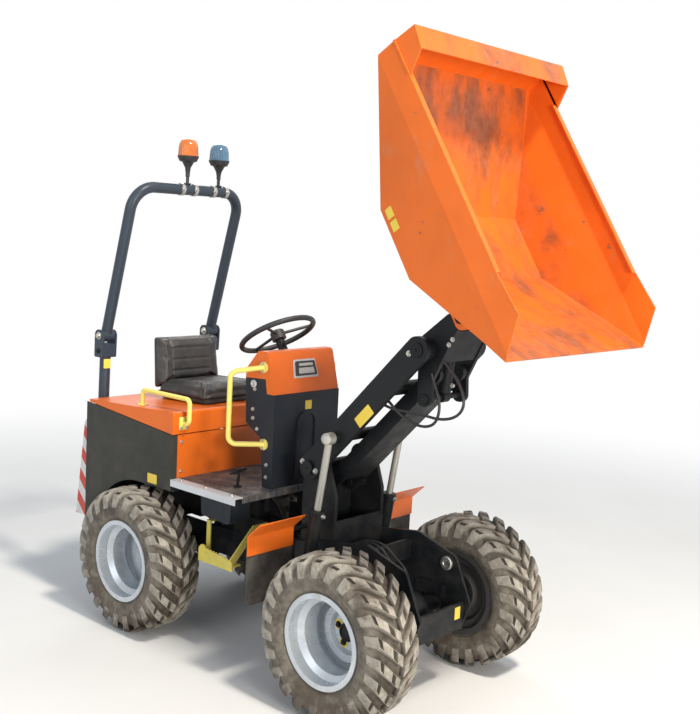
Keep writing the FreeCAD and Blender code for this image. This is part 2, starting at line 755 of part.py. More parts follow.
# Engine cover, seat and handle

def hood_outline(inset):
    """Side view of the cover; its lower edge follows the side panel's top."""
    rear = HOOD_REAR + inset
    front = HOOD_FRONT - inset
    gap = 3.0 if inset <= 0 else -60.0
    slope = (PANEL_TOP_FRONT - PANEL_TOP_REAR) / (PANEL_FRONT - BODY_REAR)
    low_rear = PANEL_TOP_REAR + slope * (HOOD_REAR - BODY_REAR) + gap
    low_front = PANEL_TOP_FRONT + gap
    return [(rear, low_rear), (front, low_front), (front, HOOD_TOP_FRONT - inset, 14),
            (rear, HOOD_TOP_REAR - inset, 0)]


def engine_hood():
    shell = plate_xz(hood_outline(0), -HOOD_HALF, HOOD_HALF)
    shell = shell.cut(plate_xz(hood_outline(HOOD_T), -HOOD_HALF + HOOD_T, HOOD_HALF - HOOD_T))
    y = HOOD_HINGE_Y
    knuckle = across(HOOD_HINGE_X, HOOD_HINGE_Z, HOOD_PIN_R + 4, y - 10, y + 18)
    leaf = box(HOOD_HINGE_X, HOOD_REAR + 1, y - 10, y + 18, HOOD_HINGE_Z - 3, HOOD_HINGE_Z + HOOD_PIN_R + 4)
    knuckle = fuse([knuckle, leaf])
    knuckle = knuckle.cut(across(HOOD_HINGE_X, HOOD_HINGE_Z, HOOD_PIN_R + PIN_FIT, y - 40, y + 40))
    return fuse([shell, knuckle, mirrored(knuckle)])


def hood_top(x):
    """Height of the engine cover's top at x."""
    slope = (HOOD_TOP_FRONT - HOOD_TOP_REAR) / (HOOD_FRONT - HOOD_REAR)
    return HOOD_TOP_REAR + slope * (x - HOOD_REAR)


def seat():
    """Cushion and low back as one moulded solid."""
    x0 = SEAT_X - SEAT_DEPTH / 2.0
    x1 = SEAT_X + SEAT_DEPTH / 2.0
    base = hood_top(x1) + FIT
    profile = [(x0, hood_top(x0) + FIT), (x1, base), (x1 + 10, base + CUSHION_H, 30),
               (x0 + 110, base + CUSHION_H - 15, 40),
               (x0 + 40, base + 330, 40), (x0 - 40, base + 330, 40), (x0 - 10, base + 90, 30)]
    return plate_xz(profile, -SEAT_HALF, SEAT_HALF)


def hood_handle():
    y = -430.0
    z = HOOD_TOP_FRONT
    path = [V(-790, y, hood_top(-790) - 5), V(-790, y, z + 66), V(-405, y, z + 66), V(-405, y, z - 60),
            V(HOOD_FRONT - 5, y, z - 60)]
    return bent_bar(path, 12, 26).cut(plate_xz(hood_outline(-FIT), y - 40, y + 40))


# Front frame

def front_chassis():
    y0 = PLATE_Y
    y1 = PLATE_Y + PLATE_T
    x = FRONT_X
    side = plate_xz([(150, 340), (x + 177.5, 290, 20), (x + 225.5, 424, 30), (x + 128.5, 634, 40),
                     (x - 107.5, 706, 60), (390, 671, 60), (150, 620)], y0, y1)
    side = side.cut(across(FRONT_X, WHEEL_Z, AXLE_R + 14, y0 - 1, y1 + 1))
    side = side.cut(across(x + TIE_AHEAD, TIE_Z, TIE_R, y0 - 1, y1 + 1))
    pieces = [side, mirrored(side)]
    pieces.append(box(150, 165, -y0, y0, 340, 610))
    # Ears beside the steering ram's rod eye
    gap = STEER_EYE_W / 2.0 + OPEN_GAP
    for z in (STEER_Z - gap - 8, STEER_Z + gap):
        ear = fuse([box(STEER_HEAD_X, 151, STEER_HEAD_Y - STEER_EYE_R, STEER_HEAD_Y + STEER_EYE_R, z, z + 8),
                    Part.makeCylinder(STEER_EYE_R, 8, V(STEER_HEAD_X, STEER_HEAD_Y, z))])
        pieces.append(ear)
    pieces.append(box(x + 175.5, x + 190.5, -y0, y0, 300, 430))
    pieces.append(box(x - 157.5, x - 142.5, -y0, y0, 560, 660))
    for z in (PIVOT_LOW - FIT - LUG_T, PIVOT_HIGH + FIT):
        lug = plate_xy([(0, -PIVOT_BOSS_R), (60, -PIVOT_BOSS_R), (152, -150), (152, 150), (60, PIVOT_BOSS_R),
                        (0, PIVOT_BOSS_R)], z, z + LUG_T)
        pieces.append(fuse([lug, Part.makeCylinder(PIVOT_BOSS_R, LUG_T, V(0, 0, z))]))
    pin_low = PIVOT_LOW - FIT - LUG_T - 10
    pieces.append(Part.makeCylinder(PIVOT_R, PIVOT_HIGH + FIT + LUG_T + 10 - pin_low, V(0, 0, pin_low)))
    for s in (-1, 1):
        ys = s * (y0 + PLATE_T / 2.0)
        pieces.append(box(FRONT_X - 80, FRONT_X + 80, ys - 30, ys + 30, WHEEL_Z + AXLE_R + FIT, WHEEL_Z + 100))
        # Stub that carries the lift ram's lower eye
        boss = sorted((s * (y1 - 1), s * (RAM_Y - BARREL_R - OPEN_GAP)))
        inner = sorted((s * (y1 - 1), s * (RAM_Y - EYE_W / 2.0 - 1)))
        outer = sorted((s * y1, s * (RAM_Y + EYE_W / 2.0 + 6)))
        pieces.append(across(RAM_BASE_X, RAM_BASE_Z, RAM_SHAFT_R + 10, *boss))
        pieces.append(across(RAM_BASE_X, RAM_BASE_Z, RAM_SHAFT_R + 1, *inner))
        pieces.append(across(RAM_BASE_X, RAM_BASE_Z, RAM_SHAFT_R - 2, *outer))
    return fuse(pieces)


def link_pivot():
    """Lower pivot of the levelling link, below and ahead of the arms' pivot."""
    return ARM_X + LINK_DX, ARM_Z + LINK_DZ


def lift_tower():
    cheek = plate_xz([(TOWER_REAR, 430), (TOWER_FRONT, 430), (TOWER_FRONT, 880, 60), (315, TOWER_TOP, 70),
                      (TOWER_REAR, TOWER_TOP, 60)], TOWER_Y, PLATE_Y)
    pieces = [cheek, mirrored(cheek)]
    pieces.append(box(TOWER_REAR, TOWER_REAR + 12, -TOWER_Y, TOWER_Y, 430, 980))
    pieces.append(box(TOWER_FRONT - 12, TOWER_FRONT, -TOWER_Y, TOWER_Y, 430, 760))
    # Arm pivot shaft, through the tower and out to both arms
    reach = ARM_Y + ARM_T + 8
    pieces.append(across(ARM_X, ARM_Z, ARM_PIN_R, -reach, reach))
    x, z = link_pivot()
    for s in (-1, 1):
        pieces.append(across(ARM_X, ARM_Z, ARM_PIN_R + 20, *sorted((s * (PLATE_Y - 1), s * (ARM_Y - 0.5)))))
        pieces.append(across(x, z, LINK_PIN_R, *sorted((s * (LINK_Y - 6), s * (TOWER_Y + 1)))))
        pieces.append(across(x, z, LINK_PIN_R + 14, *sorted((s * (LINK_Y + LINK_T + 0.5), s * (TOWER_Y + 1)))))
    return fuse(pieces)


def mudguards():
    """An upright orange plate behind each front tyre with its top leaning over the tread."""
    x = GUARD_X
    guard = plate_xz([(x, 640), (x + 6, 640), (x + 6, 733, 14), (x + 82, 802), (x + 78, 806), (x, 736, 20)],
                     GUARD_INNER, GUARD_OUTER)
    bracket = box(x - 46, x, PLATE_Y, GUARD_INNER + 30, 706, 712)
    return both_sides(guard), both_sides(bracket)


def mud_flaps():
    outline = [(GUARD_INNER, 400), (GUARD_OUTER - 4, 400, 40), (GUARD_OUTER - 4, 700), (GUARD_INNER, 700)]
    return both_sides(plate_yz(outline, GUARD_X - 8, GUARD_X - FIT))


# Lift arms and levelling link

def stadium(x0, z0, x1, z1, half, y0, y1):
    """A flat bar with round ends between two side-view points."""
    dx = x1 - x0
    dz = z1 - z0
    length = math.hypot(dx, dz)
    nx = -dz / length * half
    nz = dx / length * half
    bar = plate_xz([(x0 + nx, z0 + nz), (x0 - nx, z0 - nz), (x1 - nx, z1 - nz), (x1 + nx, z1 + nz)], y0, y1)
    return fuse([bar, across(x0, z0, half, y0, y1), across(x1, z1, half, y0, y1)])


def lift_arms():
    x1, z1 = on_arm(ARM_LENGTH)
    y1 = ARM_Y + ARM_T
    plate = stadium(ARM_X, ARM_Z, x1, z1, ARM_DEPTH / 2.0, ARM_Y, y1)
    plate = fuse([plate, across(x1, z1, 46, CARRIER_Y + CARRIER_T + 0.5, ARM_Y + 1),
                  across(x1, z1, CARRIER_PIN_R, CARRIER_Y - 8, y1)])
    plate = plate.cut(across(ARM_X, ARM_Z, ARM_PIN_R + PIN_FIT, ARM_Y - 1, y1 + 1))
    sx, sz = on_arm(RAM_ON_ARM)
    reach = RAM_Y - EYE_W / 2.0 - OPEN_GAP
    shaft = across(sx, sz, RAM_SHAFT_R + 6, -reach, reach)
    cx, cz = on_arm(600.0)
    tube = across(cx, cz, 32, -ARM_Y - 2, ARM_Y + 2)
    return fuse([plate, mirrored(plate), shaft, tube])


def levelling_link():
    x0, z0 = link_pivot()
    x1, z1 = on_arm(ARM_LENGTH)
    x1 += LINK_DX
    z1 += LINK_DZ
    half = LINK_DEPTH / 2.0
    bar = stadium(x0, z0, x1, z1, half, LINK_Y, LINK_Y + LINK_T)
    bar = bar.cut(across(x0, z0, LINK_PIN_R + PIN_FIT, LINK_Y - 1, LINK_Y + LINK_T + 1))
    bar = bar.cut(across(x1, z1, LINK_PIN_R + PIN_FIT, LINK_Y - 1, LINK_Y + LINK_T + 1))
    a = math.radians(ARM_ANGLE)
    length = math.hypot(x1 - x0, z1 - z0)
    web = box(110, length - 160, -LINK_Y, LINK_Y, -half, -half + 8)
    web.rotate(V(0, 0, 0), V(0, 1, 0), -math.degrees(a))
    web.translate(V(x0, 0, z0))
    return fuse([bar, mirrored(bar), web])


def carrier():
    x1, z1 = on_arm(ARM_LENGTH)
    y1 = CARRIER_Y + CARRIER_T
    cheek = plate_xz([(812, 1385, 34), (892, 1385, 36), (885, 1500, 20), (1000, 1735, 20),
                      (HINGE_X + 50, HINGE_Z - 8, 34), (HINGE_X, HINGE_Z + 50, 34), (950, 1806, 30),
                      (800, 1684, 40)], CARRIER_Y, y1)
    cheek = cheek.cut(across(x1, z1, CARRIER_PIN_R + PIN_FIT, CARRIER_Y - 1, y1 + 1))
    pieces = [cheek, mirrored(cheek)]
    web = plate_xz([(923, 1590), (990, 1727), (981, 1731), (914, 1594)], -CARRIER_Y - 1, CARRIER_Y + 1)
    pieces.append(web)
    pieces.append(across(TIP_BASE_X, TIP_BASE_Z, TIP_PIN_R, -y1, y1))
    lx = x1 + LINK_DX
    lz = z1 + LINK_DZ
    for s in (-1, 1):
        pieces.append(across(lx, lz, LINK_PIN_R, *sorted((s * (LINK_Y - 6), s * (CARRIER_Y + 1)))))
        pieces.append(across(lx, lz, LINK_PIN_R + 10, *sorted((s * (LINK_Y + LINK_T + 0.5), s * (CARRIER_Y + 1)))))
        pieces.append(across(HINGE_X, HINGE_Z, HINGE_PIN_R, *sorted((s * (CARRIER_Y + 1), s * (EAR_Y + EAR_T + 6)))))
    return fuse(pieces)


# Skip, in its own level frame and then tipped

def tip(shape):
    shape.rotate(V(0, 0, 0), V(0, 1, 0), TIP_ANGLE)
    shape.translate(V(HINGE_X, 0, HINGE_Z))
    return shape


def level(points):
    """Skip profile points (u, w, radius) moved so that the hinge is at zero."""
    return [(p[0] - HINGE_U, p[1] - HINGE_W) + tuple(p[2:]) for p in points]


def skip_section(inset, top):
    half = SKIP_HALF - inset
    low = half - SKIP_TAPER
    w0 = FLOOR_W - 40 - HINGE_W
    crease = SKIP_CREASE - HINGE_W
    extra = SKIP_TAPER * 40.0 / (SKIP_CREASE - FLOOR_W)
    return [(half, top), (half, crease), (low - extra, w0), (-low + extra, w0), (-half, crease), (-half, top)]


def skip():
    s = SKIP_SHEET
    top = -HINGE_W
    outline = [(0, 0), (RIM_U, 0), (NOSE_U, NOSE_W, 10), (LIP_U, LIP_W), (SLOPE_U, SLOPE_W), (FLOOR_U1, FLOOR_W),
               (FLOOR_U0, FLOOR_W), (0, REAR_WALL_W)]
    body = plate_xz(level(outline), -SKIP_HALF, SKIP_HALF)
    body = body.common(plate_yz(skip_section(0, top + 40), -HINGE_U - 10, LIP_U - HINGE_U + 10))
    inner = [(s, 60), (LIP_U + 60, 60), (LIP_U + 60, LIP_W + 34 + s), (SLOPE_U, SLOPE_W + 1.15 * s),
             (FLOOR_U1 - 0.25 * s, FLOOR_W + s), (FLOOR_U0 + 0.3 * s, FLOOR_W + s), (s, REAR_WALL_W + 1.15 * s)]
    hollow = plate_xz(level(inner), -SKIP_HALF, SKIP_HALF)
    hollow = hollow.common(plate_yz(skip_section(s, top + 80), -HINGE_U - 10, LIP_U - HINGE_U + 80))
    shell = body.cut(hollow)
    pieces = [shell]
    # Spill board across the back with a folded top flange and end gussets
    board = plate_xz(level([(0, -1), (7, BOARD_H), (106, BOARD_H - 16), (105, BOARD_H - 22), (13, BOARD_H - 8),
                            (s, -1)]), -SKIP_HALF, SKIP_HALF)
    pieces.append(board)
    gusset = plate_xz(level([(0, -1), (7, BOARD_H), (106, BOARD_H - 16), (168, -1)]), SKIP_HALF - s, SKIP_HALF)
    pieces += [gusset, mirrored(gusset)]
    # Rim rail folded inwards along each side
    rail = plate_xz(level([(150, 0), (RIM_U, 0), (RIM_U, -s), (150, -s)]), SKIP_HALF - 28, SKIP_HALF - 1)
    pieces += [rail, mirrored(rail)]
    # Hinge ears and the rod's bracket under the floor
    ear = plate_xz([(-44, -42, 36), (44, -42, 36), (112, FLOOR_W - HINGE_W + 160), (-152, FLOOR_W - HINGE_W + 3),
                    (-240, FLOOR_W - HINGE_W + 3)], EAR_Y, EAR_Y + EAR_T)
    ear = ear.cut(across(0, 0, HINGE_PIN_R + PIN_FIT, EAR_Y - 1, EAR_Y + EAR_T + 1))
    pieces += [ear, mirrored(ear)]
    bx, bz = rod_bracket()
    cheek = plate_xz([(bx - 70, FLOOR_W - HINGE_W + 3), (bx - 24, bz - 26, 22), (bx + 24, bz - 26, 22),
                      (bx + 70, FLOOR_W - HINGE_W + 3)], TIP_EYE_W / 2.0 + OPEN_GAP, TIP_EYE_W / 2.0 + OPEN_GAP + 14)
    pieces += [cheek, mirrored(cheek)]
    return tip(fuse(pieces))


def rod_bracket():
    """The tip rod's pin in the skip's level frame, measured from the hinge."""
    return -250.0, 14.0


# Rams

def ram(start, end, pin, barrel_r, barrel_length, stroke_in, rod_r, pin_r, eye_r, eye_w):
    """Barrel and rod between a bored base eye and a plain head eye.

    The rod starts far enough up the bore to slide in by its inward stroke.

    The head stays clear of its bracket, because the two part a little as the
    linkage moves."""
    along = (end - start).normalize()
    half = pin * (eye_w / 2.0)
    foot = start + along * (eye_r - 4)
    mouth = foot + along * barrel_length
    barrel = fuse([rod(foot, mouth, barrel_r), rod(start - half, start + half, eye_r)])
    barrel = barrel.cut(rod(foot + along * 18, mouth + along, rod_r + FIT))
    barrel = barrel.cut(rod(start - half * 2, start + half * 2, pin_r + PIN_FIT))
    shaft = rod(foot + along * (24 + stroke_in), end - along * (eye_r - 4), rod_r)
    return barrel, fuse([shaft, rod(end - half, end + half, eye_r)])


def arm_head():
    """Where the lift ram's rod meets the arm."""
    x, z = on_arm(RAM_ON_ARM)
    return V(x, RAM_Y, z)


def make_lift_rams():
    barrel, piston = ram(V(RAM_BASE_X, RAM_Y, RAM_BASE_Z), arm_head(), V(0, 1, 0), BARREL_R, BARREL_LENGTH,
                         LIFT_STROKE, ROD_R, RAM_SHAFT_R - 2, EYE_R, EYE_W)
    keep("lift_barrels", both_sides(barrel))
    keep("lift_rods", both_sides(piston))


def tip_head():
    bx, bz = rod_bracket()
    a = math.radians(TIP_ANGLE)
    return HINGE_X + bx * math.cos(a) + bz * math.sin(a), HINGE_Z - bx * math.sin(a) + bz * math.cos(a)


def make_tip_ram():
    x, z = tip_head()
    barrel, piston = ram(V(TIP_BASE_X, 0, TIP_BASE_Z), V(x, 0, z), V(0, 1, 0), TIP_BARREL_R, TIP_BARREL_LENGTH,
                         TIP_STROKE, TIP_ROD_R, TIP_PIN_R, TIP_EYE_R, TIP_EYE_W)
    keep("tip_barrel", barrel)
    keep("tip_rod", piston)


def make_steering_ram():
    barrel, piston = ram(V(STEER_BASE_X, STEER_BASE_Y, STEER_Z), V(STEER_HEAD_X, STEER_HEAD_Y, STEER_Z), V(0, 0, 1),
                         STEER_BARREL_R, STEER_BARREL_LENGTH, STEER_STROKE, STEER_ROD_R, STEER_PIN_R, STEER_EYE_R,
                         STEER_EYE_W)
    keep("steer_barrel", barrel)
    keep("steer_rod", piston)


def make_all():
    make_wheels()
    keep("rear_chassis", rear_chassis())
    keep("rear_axle", axle(REAR_X))
    keep("pedal", pedal())
    keep("engine_block", engine_block())
    keep("tank", tank())
    keep("battery_box", battery_box())
    keep("side_panel_left", side_panel())
    keep("side_panel_right", mirrored(side_panel()))
    keep("counterweight", counterweight())
    keep("hood_hinges", hood_hinges())
    keep("rear_panel", rear_panel())
    keep("front_panel", front_panel())
    keep("floor_plate", floor_plate())
    keep("floor_edges", floor_edges())
    keep("console_body", console_body())
    keep("console_cover", console_cover())
    keep("steering_wheel", steering_wheel())
    keep("steering_column", steering_column())
    keep("grab_handles", grab_handles())
    keep("side_steps", side_steps())
    right, left = rops_posts()
    keep("rops_posts", Part.makeCompound([right, left]))
    keep("rops_hoop", rops_hoop())
    keep("beacon_amber", beacon(-20.0, 250.0, 120.0))
    keep("beacon_blue", beacon(205.0, 240.0, 112.0))
    keep("engine_hood", engine_hood())
    keep("seat", seat())
    keep("hood_handle", hood_handle())
    keep("front_chassis", front_chassis())
    keep("lift_tower", lift_tower())
    keep("front_axle", axle(FRONT_X))
    guards, brackets = mudguards()
    keep("mudguards", guards)
    keep("guard_brackets", brackets)
    keep("mud_flaps", mud_flaps())
    keep("lift_arms", lift_arms())
    keep("levelling_link", levelling_link())
    keep("carrier", carrier())
    keep("skip", skip())
    make_lift_rams()
    make_tip_ram()
    make_steering_ram()


make_all()
front_most = nodes["skip"].BoundBox.XMax
origin_x = (BUMPER_REAR - HITCH_REACH + front_most) / 2.0
os.makedirs("parts", exist_ok=True)
for name, shape in nodes.items():
    moved = shape.copy()
    moved.translate(V(-origin_x, 0, 0))
    moved.exportStep("parts/" + name + ".step")
print("origin is at x =", round(origin_x, 3), "from the steering pivot;", len(nodes), "nodes")
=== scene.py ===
import bpy
import bmesh
import json
import math
from mathutils import Matrix, Vector


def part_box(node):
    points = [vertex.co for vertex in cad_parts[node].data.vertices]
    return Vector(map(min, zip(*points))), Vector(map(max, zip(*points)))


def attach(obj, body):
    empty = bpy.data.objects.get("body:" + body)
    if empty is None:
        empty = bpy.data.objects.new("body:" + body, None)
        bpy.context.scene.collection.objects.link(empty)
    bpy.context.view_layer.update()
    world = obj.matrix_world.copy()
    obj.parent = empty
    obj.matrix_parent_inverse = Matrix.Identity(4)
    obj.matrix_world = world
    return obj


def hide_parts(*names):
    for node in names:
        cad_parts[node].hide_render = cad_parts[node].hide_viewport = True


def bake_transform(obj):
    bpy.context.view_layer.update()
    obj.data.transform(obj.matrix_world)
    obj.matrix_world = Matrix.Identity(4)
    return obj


# Looks of a one-tonne articulated site dumper, in metres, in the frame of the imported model.

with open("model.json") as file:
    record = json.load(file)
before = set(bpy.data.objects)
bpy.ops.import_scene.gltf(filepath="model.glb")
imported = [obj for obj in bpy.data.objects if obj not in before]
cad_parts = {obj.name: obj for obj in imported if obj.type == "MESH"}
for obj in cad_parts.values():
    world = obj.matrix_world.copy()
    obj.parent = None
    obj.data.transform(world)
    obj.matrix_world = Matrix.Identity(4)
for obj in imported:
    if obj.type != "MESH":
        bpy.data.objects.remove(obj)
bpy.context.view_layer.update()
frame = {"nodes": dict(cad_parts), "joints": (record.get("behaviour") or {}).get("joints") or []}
nodes = frame["nodes"]
joints = {j["name"]: j for j in frame["joints"]}

# Places that come from the frame
ORIGIN = -joints["steer"]["pos_m"][0]
WHEELS = ("front_right", "front_left", "rear_right", "rear_left")

# Camera of the photograph
LENS = 53.29
CAMERA_PLACE = Vector((3.672 - ORIGIN, -3.82, 2.152))
CAMERA_AZIMUTH = math.radians(131.656)
CAMERA_TILT = math.radians(-6.91)
CAMERA_ROLL = math.radians(2.854)

# Tyre tread: rings from the middle to the bead as across, base radius, top radius, sweep in lug pitches
LUGS = 23
LUG_TOP = 0.23
LUG_FOOT = 0.29
LUG_RINGS = ((0.008, 0.352, 0.380, 0.04), (0.038, 0.3505, 0.379, 0.27), (0.068, 0.348, 0.3775, 0.52),
             (0.098, 0.342, 0.375, 0.80), (0.113, 0.331, 0.3655, 0.96), (0.124, 0.318, 0.352, 1.10),
             (0.1295, 0.300, 0.320, 1.17), (0.131, 0.284, 0.284, 1.22))
WALL = ((0.1305, 0.262), (0.127, 0.243), (0.120, 0.228), (0.1087, 0.2195), (0.1087, 0.197))
TREAD_STEPS = 96

# Blank plates
PLATE_THICK = 0.0012


def at(x, y, z):
    """A point given from the steering pivot, in the row frame."""
    return Vector((x - ORIGIN, y, z))


def joint_place(name):
    return Vector(joints[name]["pos_m"])


ARM_FOOT = joint_place("lift")
ARM_WAY = (joint_place("carrier_level") - ARM_FOOT).normalized()
ARM_OUT = 0.2202


def on_arm(along, rise, y):
    """A point from the arms' lower pivot, along the arm and square to it."""
    p = ARM_FOOT + ARM_WAY * along + Vector((-ARM_WAY.z, 0, ARM_WAY.x)) * rise
    return Vector((p.x, y, p.z))


TIP = math.radians(-joints["tip"]["range_deg"][0])
SKIP_TURN = Matrix.Rotation(TIP, 4, "Y")
SKIP_HINGE = Vector((0.995, 0, -0.476))


def on_skip(u, y, w):
    """A point of the level skip: u forward from its rear rim, w up from the rim."""
    return joint_place("tip") + SKIP_TURN @ (Vector((u, y, w)) - SKIP_HINGE)


# Materials

class Nodes:
    """Small helper around one material's node tree."""

    def __init__(self, name):
        self.material = bpy.data.materials.new(name)
        self.material.use_nodes = True
        self.tree = self.material.node_tree
        self.tree.nodes.clear()
        self.out = self.add("ShaderNodeOutputMaterial")
        self.shader = self.add("ShaderNodeBsdfPrincipled")
        self.link(self.shader, "BSDF", self.out, "Surface")
        self.place = self.add("ShaderNodeTexCoord")
        self.geometry = self.add("ShaderNodeNewGeometry")

    def add(self, kind, **values):
        node = self.tree.nodes.new(kind)
        for key, value in values.items():
            setattr(node, key, value)
        return node

    def link(self, source, out, target, into):
        self.tree.links.new(source.outputs[out], target.inputs[into])

    def noise(self, scale, detail=4.0, rough=0.55, stretch=None):
        node = self.add("ShaderNodeTexNoise")
        node.inputs["Scale"].default_value = scale
        node.inputs["Detail"].default_value = detail
        node.inputs["Roughness"].default_value = rough
        if stretch is None:
            self.link(self.place, "Object", node, "Vector")
        else:
            mapping = self.add("ShaderNodeMapping")
            mapping.inputs["Scale"].default_value = stretch
            self.link(self.place, "Object", mapping, "Vector")
            self.link(mapping, "Vector", node, "Vector")
        return node, "Fac"

    def span(self, source, low, high, to_low=0.0, to_high=1.0, smooth=True):
        """Maps a value from low..high to to_low..to_high."""
        node = self.add("ShaderNodeMapRange")
        node.interpolation_type = "SMOOTHSTEP" if smooth else "LINEAR"
        for key, value in (("From Min", low), ("From Max", high), ("To Min", to_low), ("To Max", to_high)):
            node.inputs[key].default_value = value
        self.link(source[0], source[1], node, "Value")
        return node, "Result"

    def maths(self, operation, a, b):
        node = self.add("ShaderNodeMath", operation=operation)
        for i, value in enumerate((a, b)):
            if isinstance(value, tuple):
                self.tree.links.new(value[0].outputs[value[1]], node.inputs[i])
            else:
                node.inputs[i].default_value = value
        return node, "Value"

    def split(self, source, out, axis):
        node = self.add("ShaderNodeSeparateXYZ")
        self.link(source, out, node, "Vector")
        return node, axis

    def mix(self, factor, a, b):
        """Colour between a and b; each is a colour or another node's output."""
        node = self.add("ShaderNodeMix", data_type="RGBA")
        self.tree.links.new(factor[0].outputs[factor[1]], node.inputs[0])
        for i, value in ((6, a), (7, b)):
            if isinstance(value[0], bpy.types.Node):
                self.tree.links.new(value[0].outputs[value[1]], node.inputs[i])
            else:
                node.inputs[i].default_value = (*value, 1.0)
        return node, 2

    def colour(self, source):
        self.tree.links.new(source[0].outputs[source[1]], self.shader.inputs["Base Color"])

    def rough(self, source):
        self.link(source[0], source[1], self.shader, "Roughness")

    def bump(self, source, strength, distance, edge=0.0):
        node = self.add("ShaderNodeBump")
        node.inputs["Strength"].default_value = strength
        node.inputs["Distance"].default_value = distance
        self.link(source[0], source[1], node, "Height")
        if edge > 0:
            soft = self.add("ShaderNodeBevel", samples=4)
            soft.inputs["Radius"].default_value = edge
            self.link(soft, "Normal", node, "Normal")
        self.link(node, "Normal", self.shader, "Normal")


DUST = (0.27, 0.235, 0.19)
DRY_MUD = (0.36, 0.315, 0.26)
WET_MUD = (0.12, 0.095, 0.07)


def dust_mask(n, amount, low=0.25, high=1.5, scale=9.0):
    """Dust that lies thicker low down, on upward faces and in patches."""
    height = n.span(n.split(n.place, "Object", "Z"), low, high, 1.0, 0.12)
    patches = n.span(n.noise(scale, 8.0, 0.65), 0.38, 0.68)
    upward = n.span(n.split(n.place, "Normal", "Z"), 0.2, 1.0, 0.55, 1.0)
    mask = n.maths("MULTIPLY", n.maths("MULTIPLY", height, patches), upward)
    return n.maths("MULTIPLY", mask, amount)


def inside_of_skip(n):
    """1 on the faces that the load lies against and 0 elsewhere, in the skip as it stands at rest."""
    y = n.split(n.place, "Object", "Y")
    side = n.span(n.maths("MULTIPLY", y, n.split(n.place, "Normal", "Y")), -0.30, -0.12, 1.0, 0.0)
    x = n.maths("MULTIPLY", n.split(n.place, "Normal", "X"), math.sin(TIP))
    z = n.maths("MULTIPLY", n.split(n.place, "Normal", "Z"), math.cos(TIP))
    bed = n.span(n.maths("ADD", x, z), 0.05, 0.30)
    within = n.span(n.maths("ABSOLUTE", y, 0.0), 0.512, 0.524, 1.0, 0.0)
    return n.maths("MULTIPLY", n.maths("MAXIMUM", side, bed), within)


def paint(name, base, rough=0.42, dust=0.5, metal=0.0, coat=0.0, edge=0.0025, peel=0.03, splash=0.0,
          load=0.0,
          specular=0.5):
    """Sprayed paint with slight shade changes, fine peel, scuffs, dust and splashes of soil."""
    n = Nodes(name)
    dark = tuple(c * 0.86 for c in base)
    shade = n.mix(n.span(n.noise(2.6, 5.0), 0.35, 0.7), base, dark)
    scuffs = n.span(n.noise(38.0, 9.0, 0.7, (1.0, 1.0, 3.2)), 0.67, 0.75, 0.0, 0.28)
    worn = tuple(min(1.0, c * 0.6 + 0.08) for c in base)
    shade = n.mix(scuffs, shade, worn)
    if splash > 0:
        spots = n.span(n.noise(11.0, 12.0, 0.62), 0.655, 0.675, 0.0, splash)
        shade = n.mix(spots, shade, WET_MUD)
        runs = n.span(n.noise(7.0, 9.0, 0.72, (1.0, 2.5, 0.7)), 0.56, 0.74, 0.0, splash * 0.35)
        shade = n.mix(runs, shade, DRY_MUD)
    if load > 0:
        smear = n.span(n.noise(3.2, 10.0, 0.66, (1.0, 1.6, 1.0)), 0.40, 0.66, 0.10, load)
        smear = n.maths("MULTIPLY", smear, inside_of_skip(n))
        soil = n.mix(n.span(n.noise(24.0, 9.0, 0.7), 0.35, 0.65), (0.050, 0.036, 0.026),
                     (0.130, 0.100, 0.072))
        shade = n.mix(smear, shade, soil)
    mask = dust_mask(n, dust)
    n.colour(n.mix(mask, shade, DUST))
    n.rough(n.maths("ADD", n.span(n.noise(14.0, 6.0), 0.3, 0.7, rough - 0.06, rough + 0.08),
                    n.maths("MULTIPLY", mask, 0.35)))
    n.shader.inputs["Metallic"].default_value = metal
    n.shader.inputs["Coat Weight"].default_value = coat
    n.shader.inputs["Coat Roughness"].default_value = 0.12
    n.shader.inputs["Specular IOR Level"].default_value = specular
    n.bump(n.maths("ADD", n.noise(420.0, 2.0), n.maths("MULTIPLY", mask, 1.5)), peel, 0.002, edge)
    return n.material


def silver_rim():
    """Silver rim paint, streaked with dried mud towards its edge; its inner side and the barrel behind the disc are
    near black, painted shade with mud.
    """
    n = Nodes("rim_silver")
    base = n.mix(n.span(n.noise(5.0, 6.0), 0.3, 0.7), (0.60, 0.64, 0.68), (0.48, 0.52, 0.56))
    mud = n.span(n.noise(11.0, 9.0, 0.7), 0.58, 0.70, 0.0, 0.6)
    facing_in = n.maths("MULTIPLY", n.split(n.place, "Object", "Y"), n.split(n.place, "Normal", "Y"))
    behind = n.span(n.maths("ABSOLUTE", n.split(n.place, "Object", "Y"), 0.0), 0.388, 0.398, 0.94, 0.0)
    # Painted shade with mud: the inner side and the barrel behind the disc go near black.
    inner_shade_and_mud = n.maths("MAXIMUM", behind, n.span(facing_in, -0.20, -0.05, 0.94, 0.0))
    mud_and_inner_shade = n.maths("MAXIMUM", mud, inner_shade_and_mud)
    n.colour(n.mix(inner_shade_and_mud, n.mix(mud, base, DRY_MUD), (0.022, 0.018, 0.015)))
    n.rough(n.maths("ADD", n.span(n.noise(9.0), 0.3, 0.7, 0.24, 0.34), n.maths("MULTIPLY", mud_and_inner_shade, 0.5)))
    n.shader.inputs["Metallic"].default_value = 0.35
    n.bump(n.noise(160.0, 3.0), 0.05, 0.002, 0.0015)
    return n.material


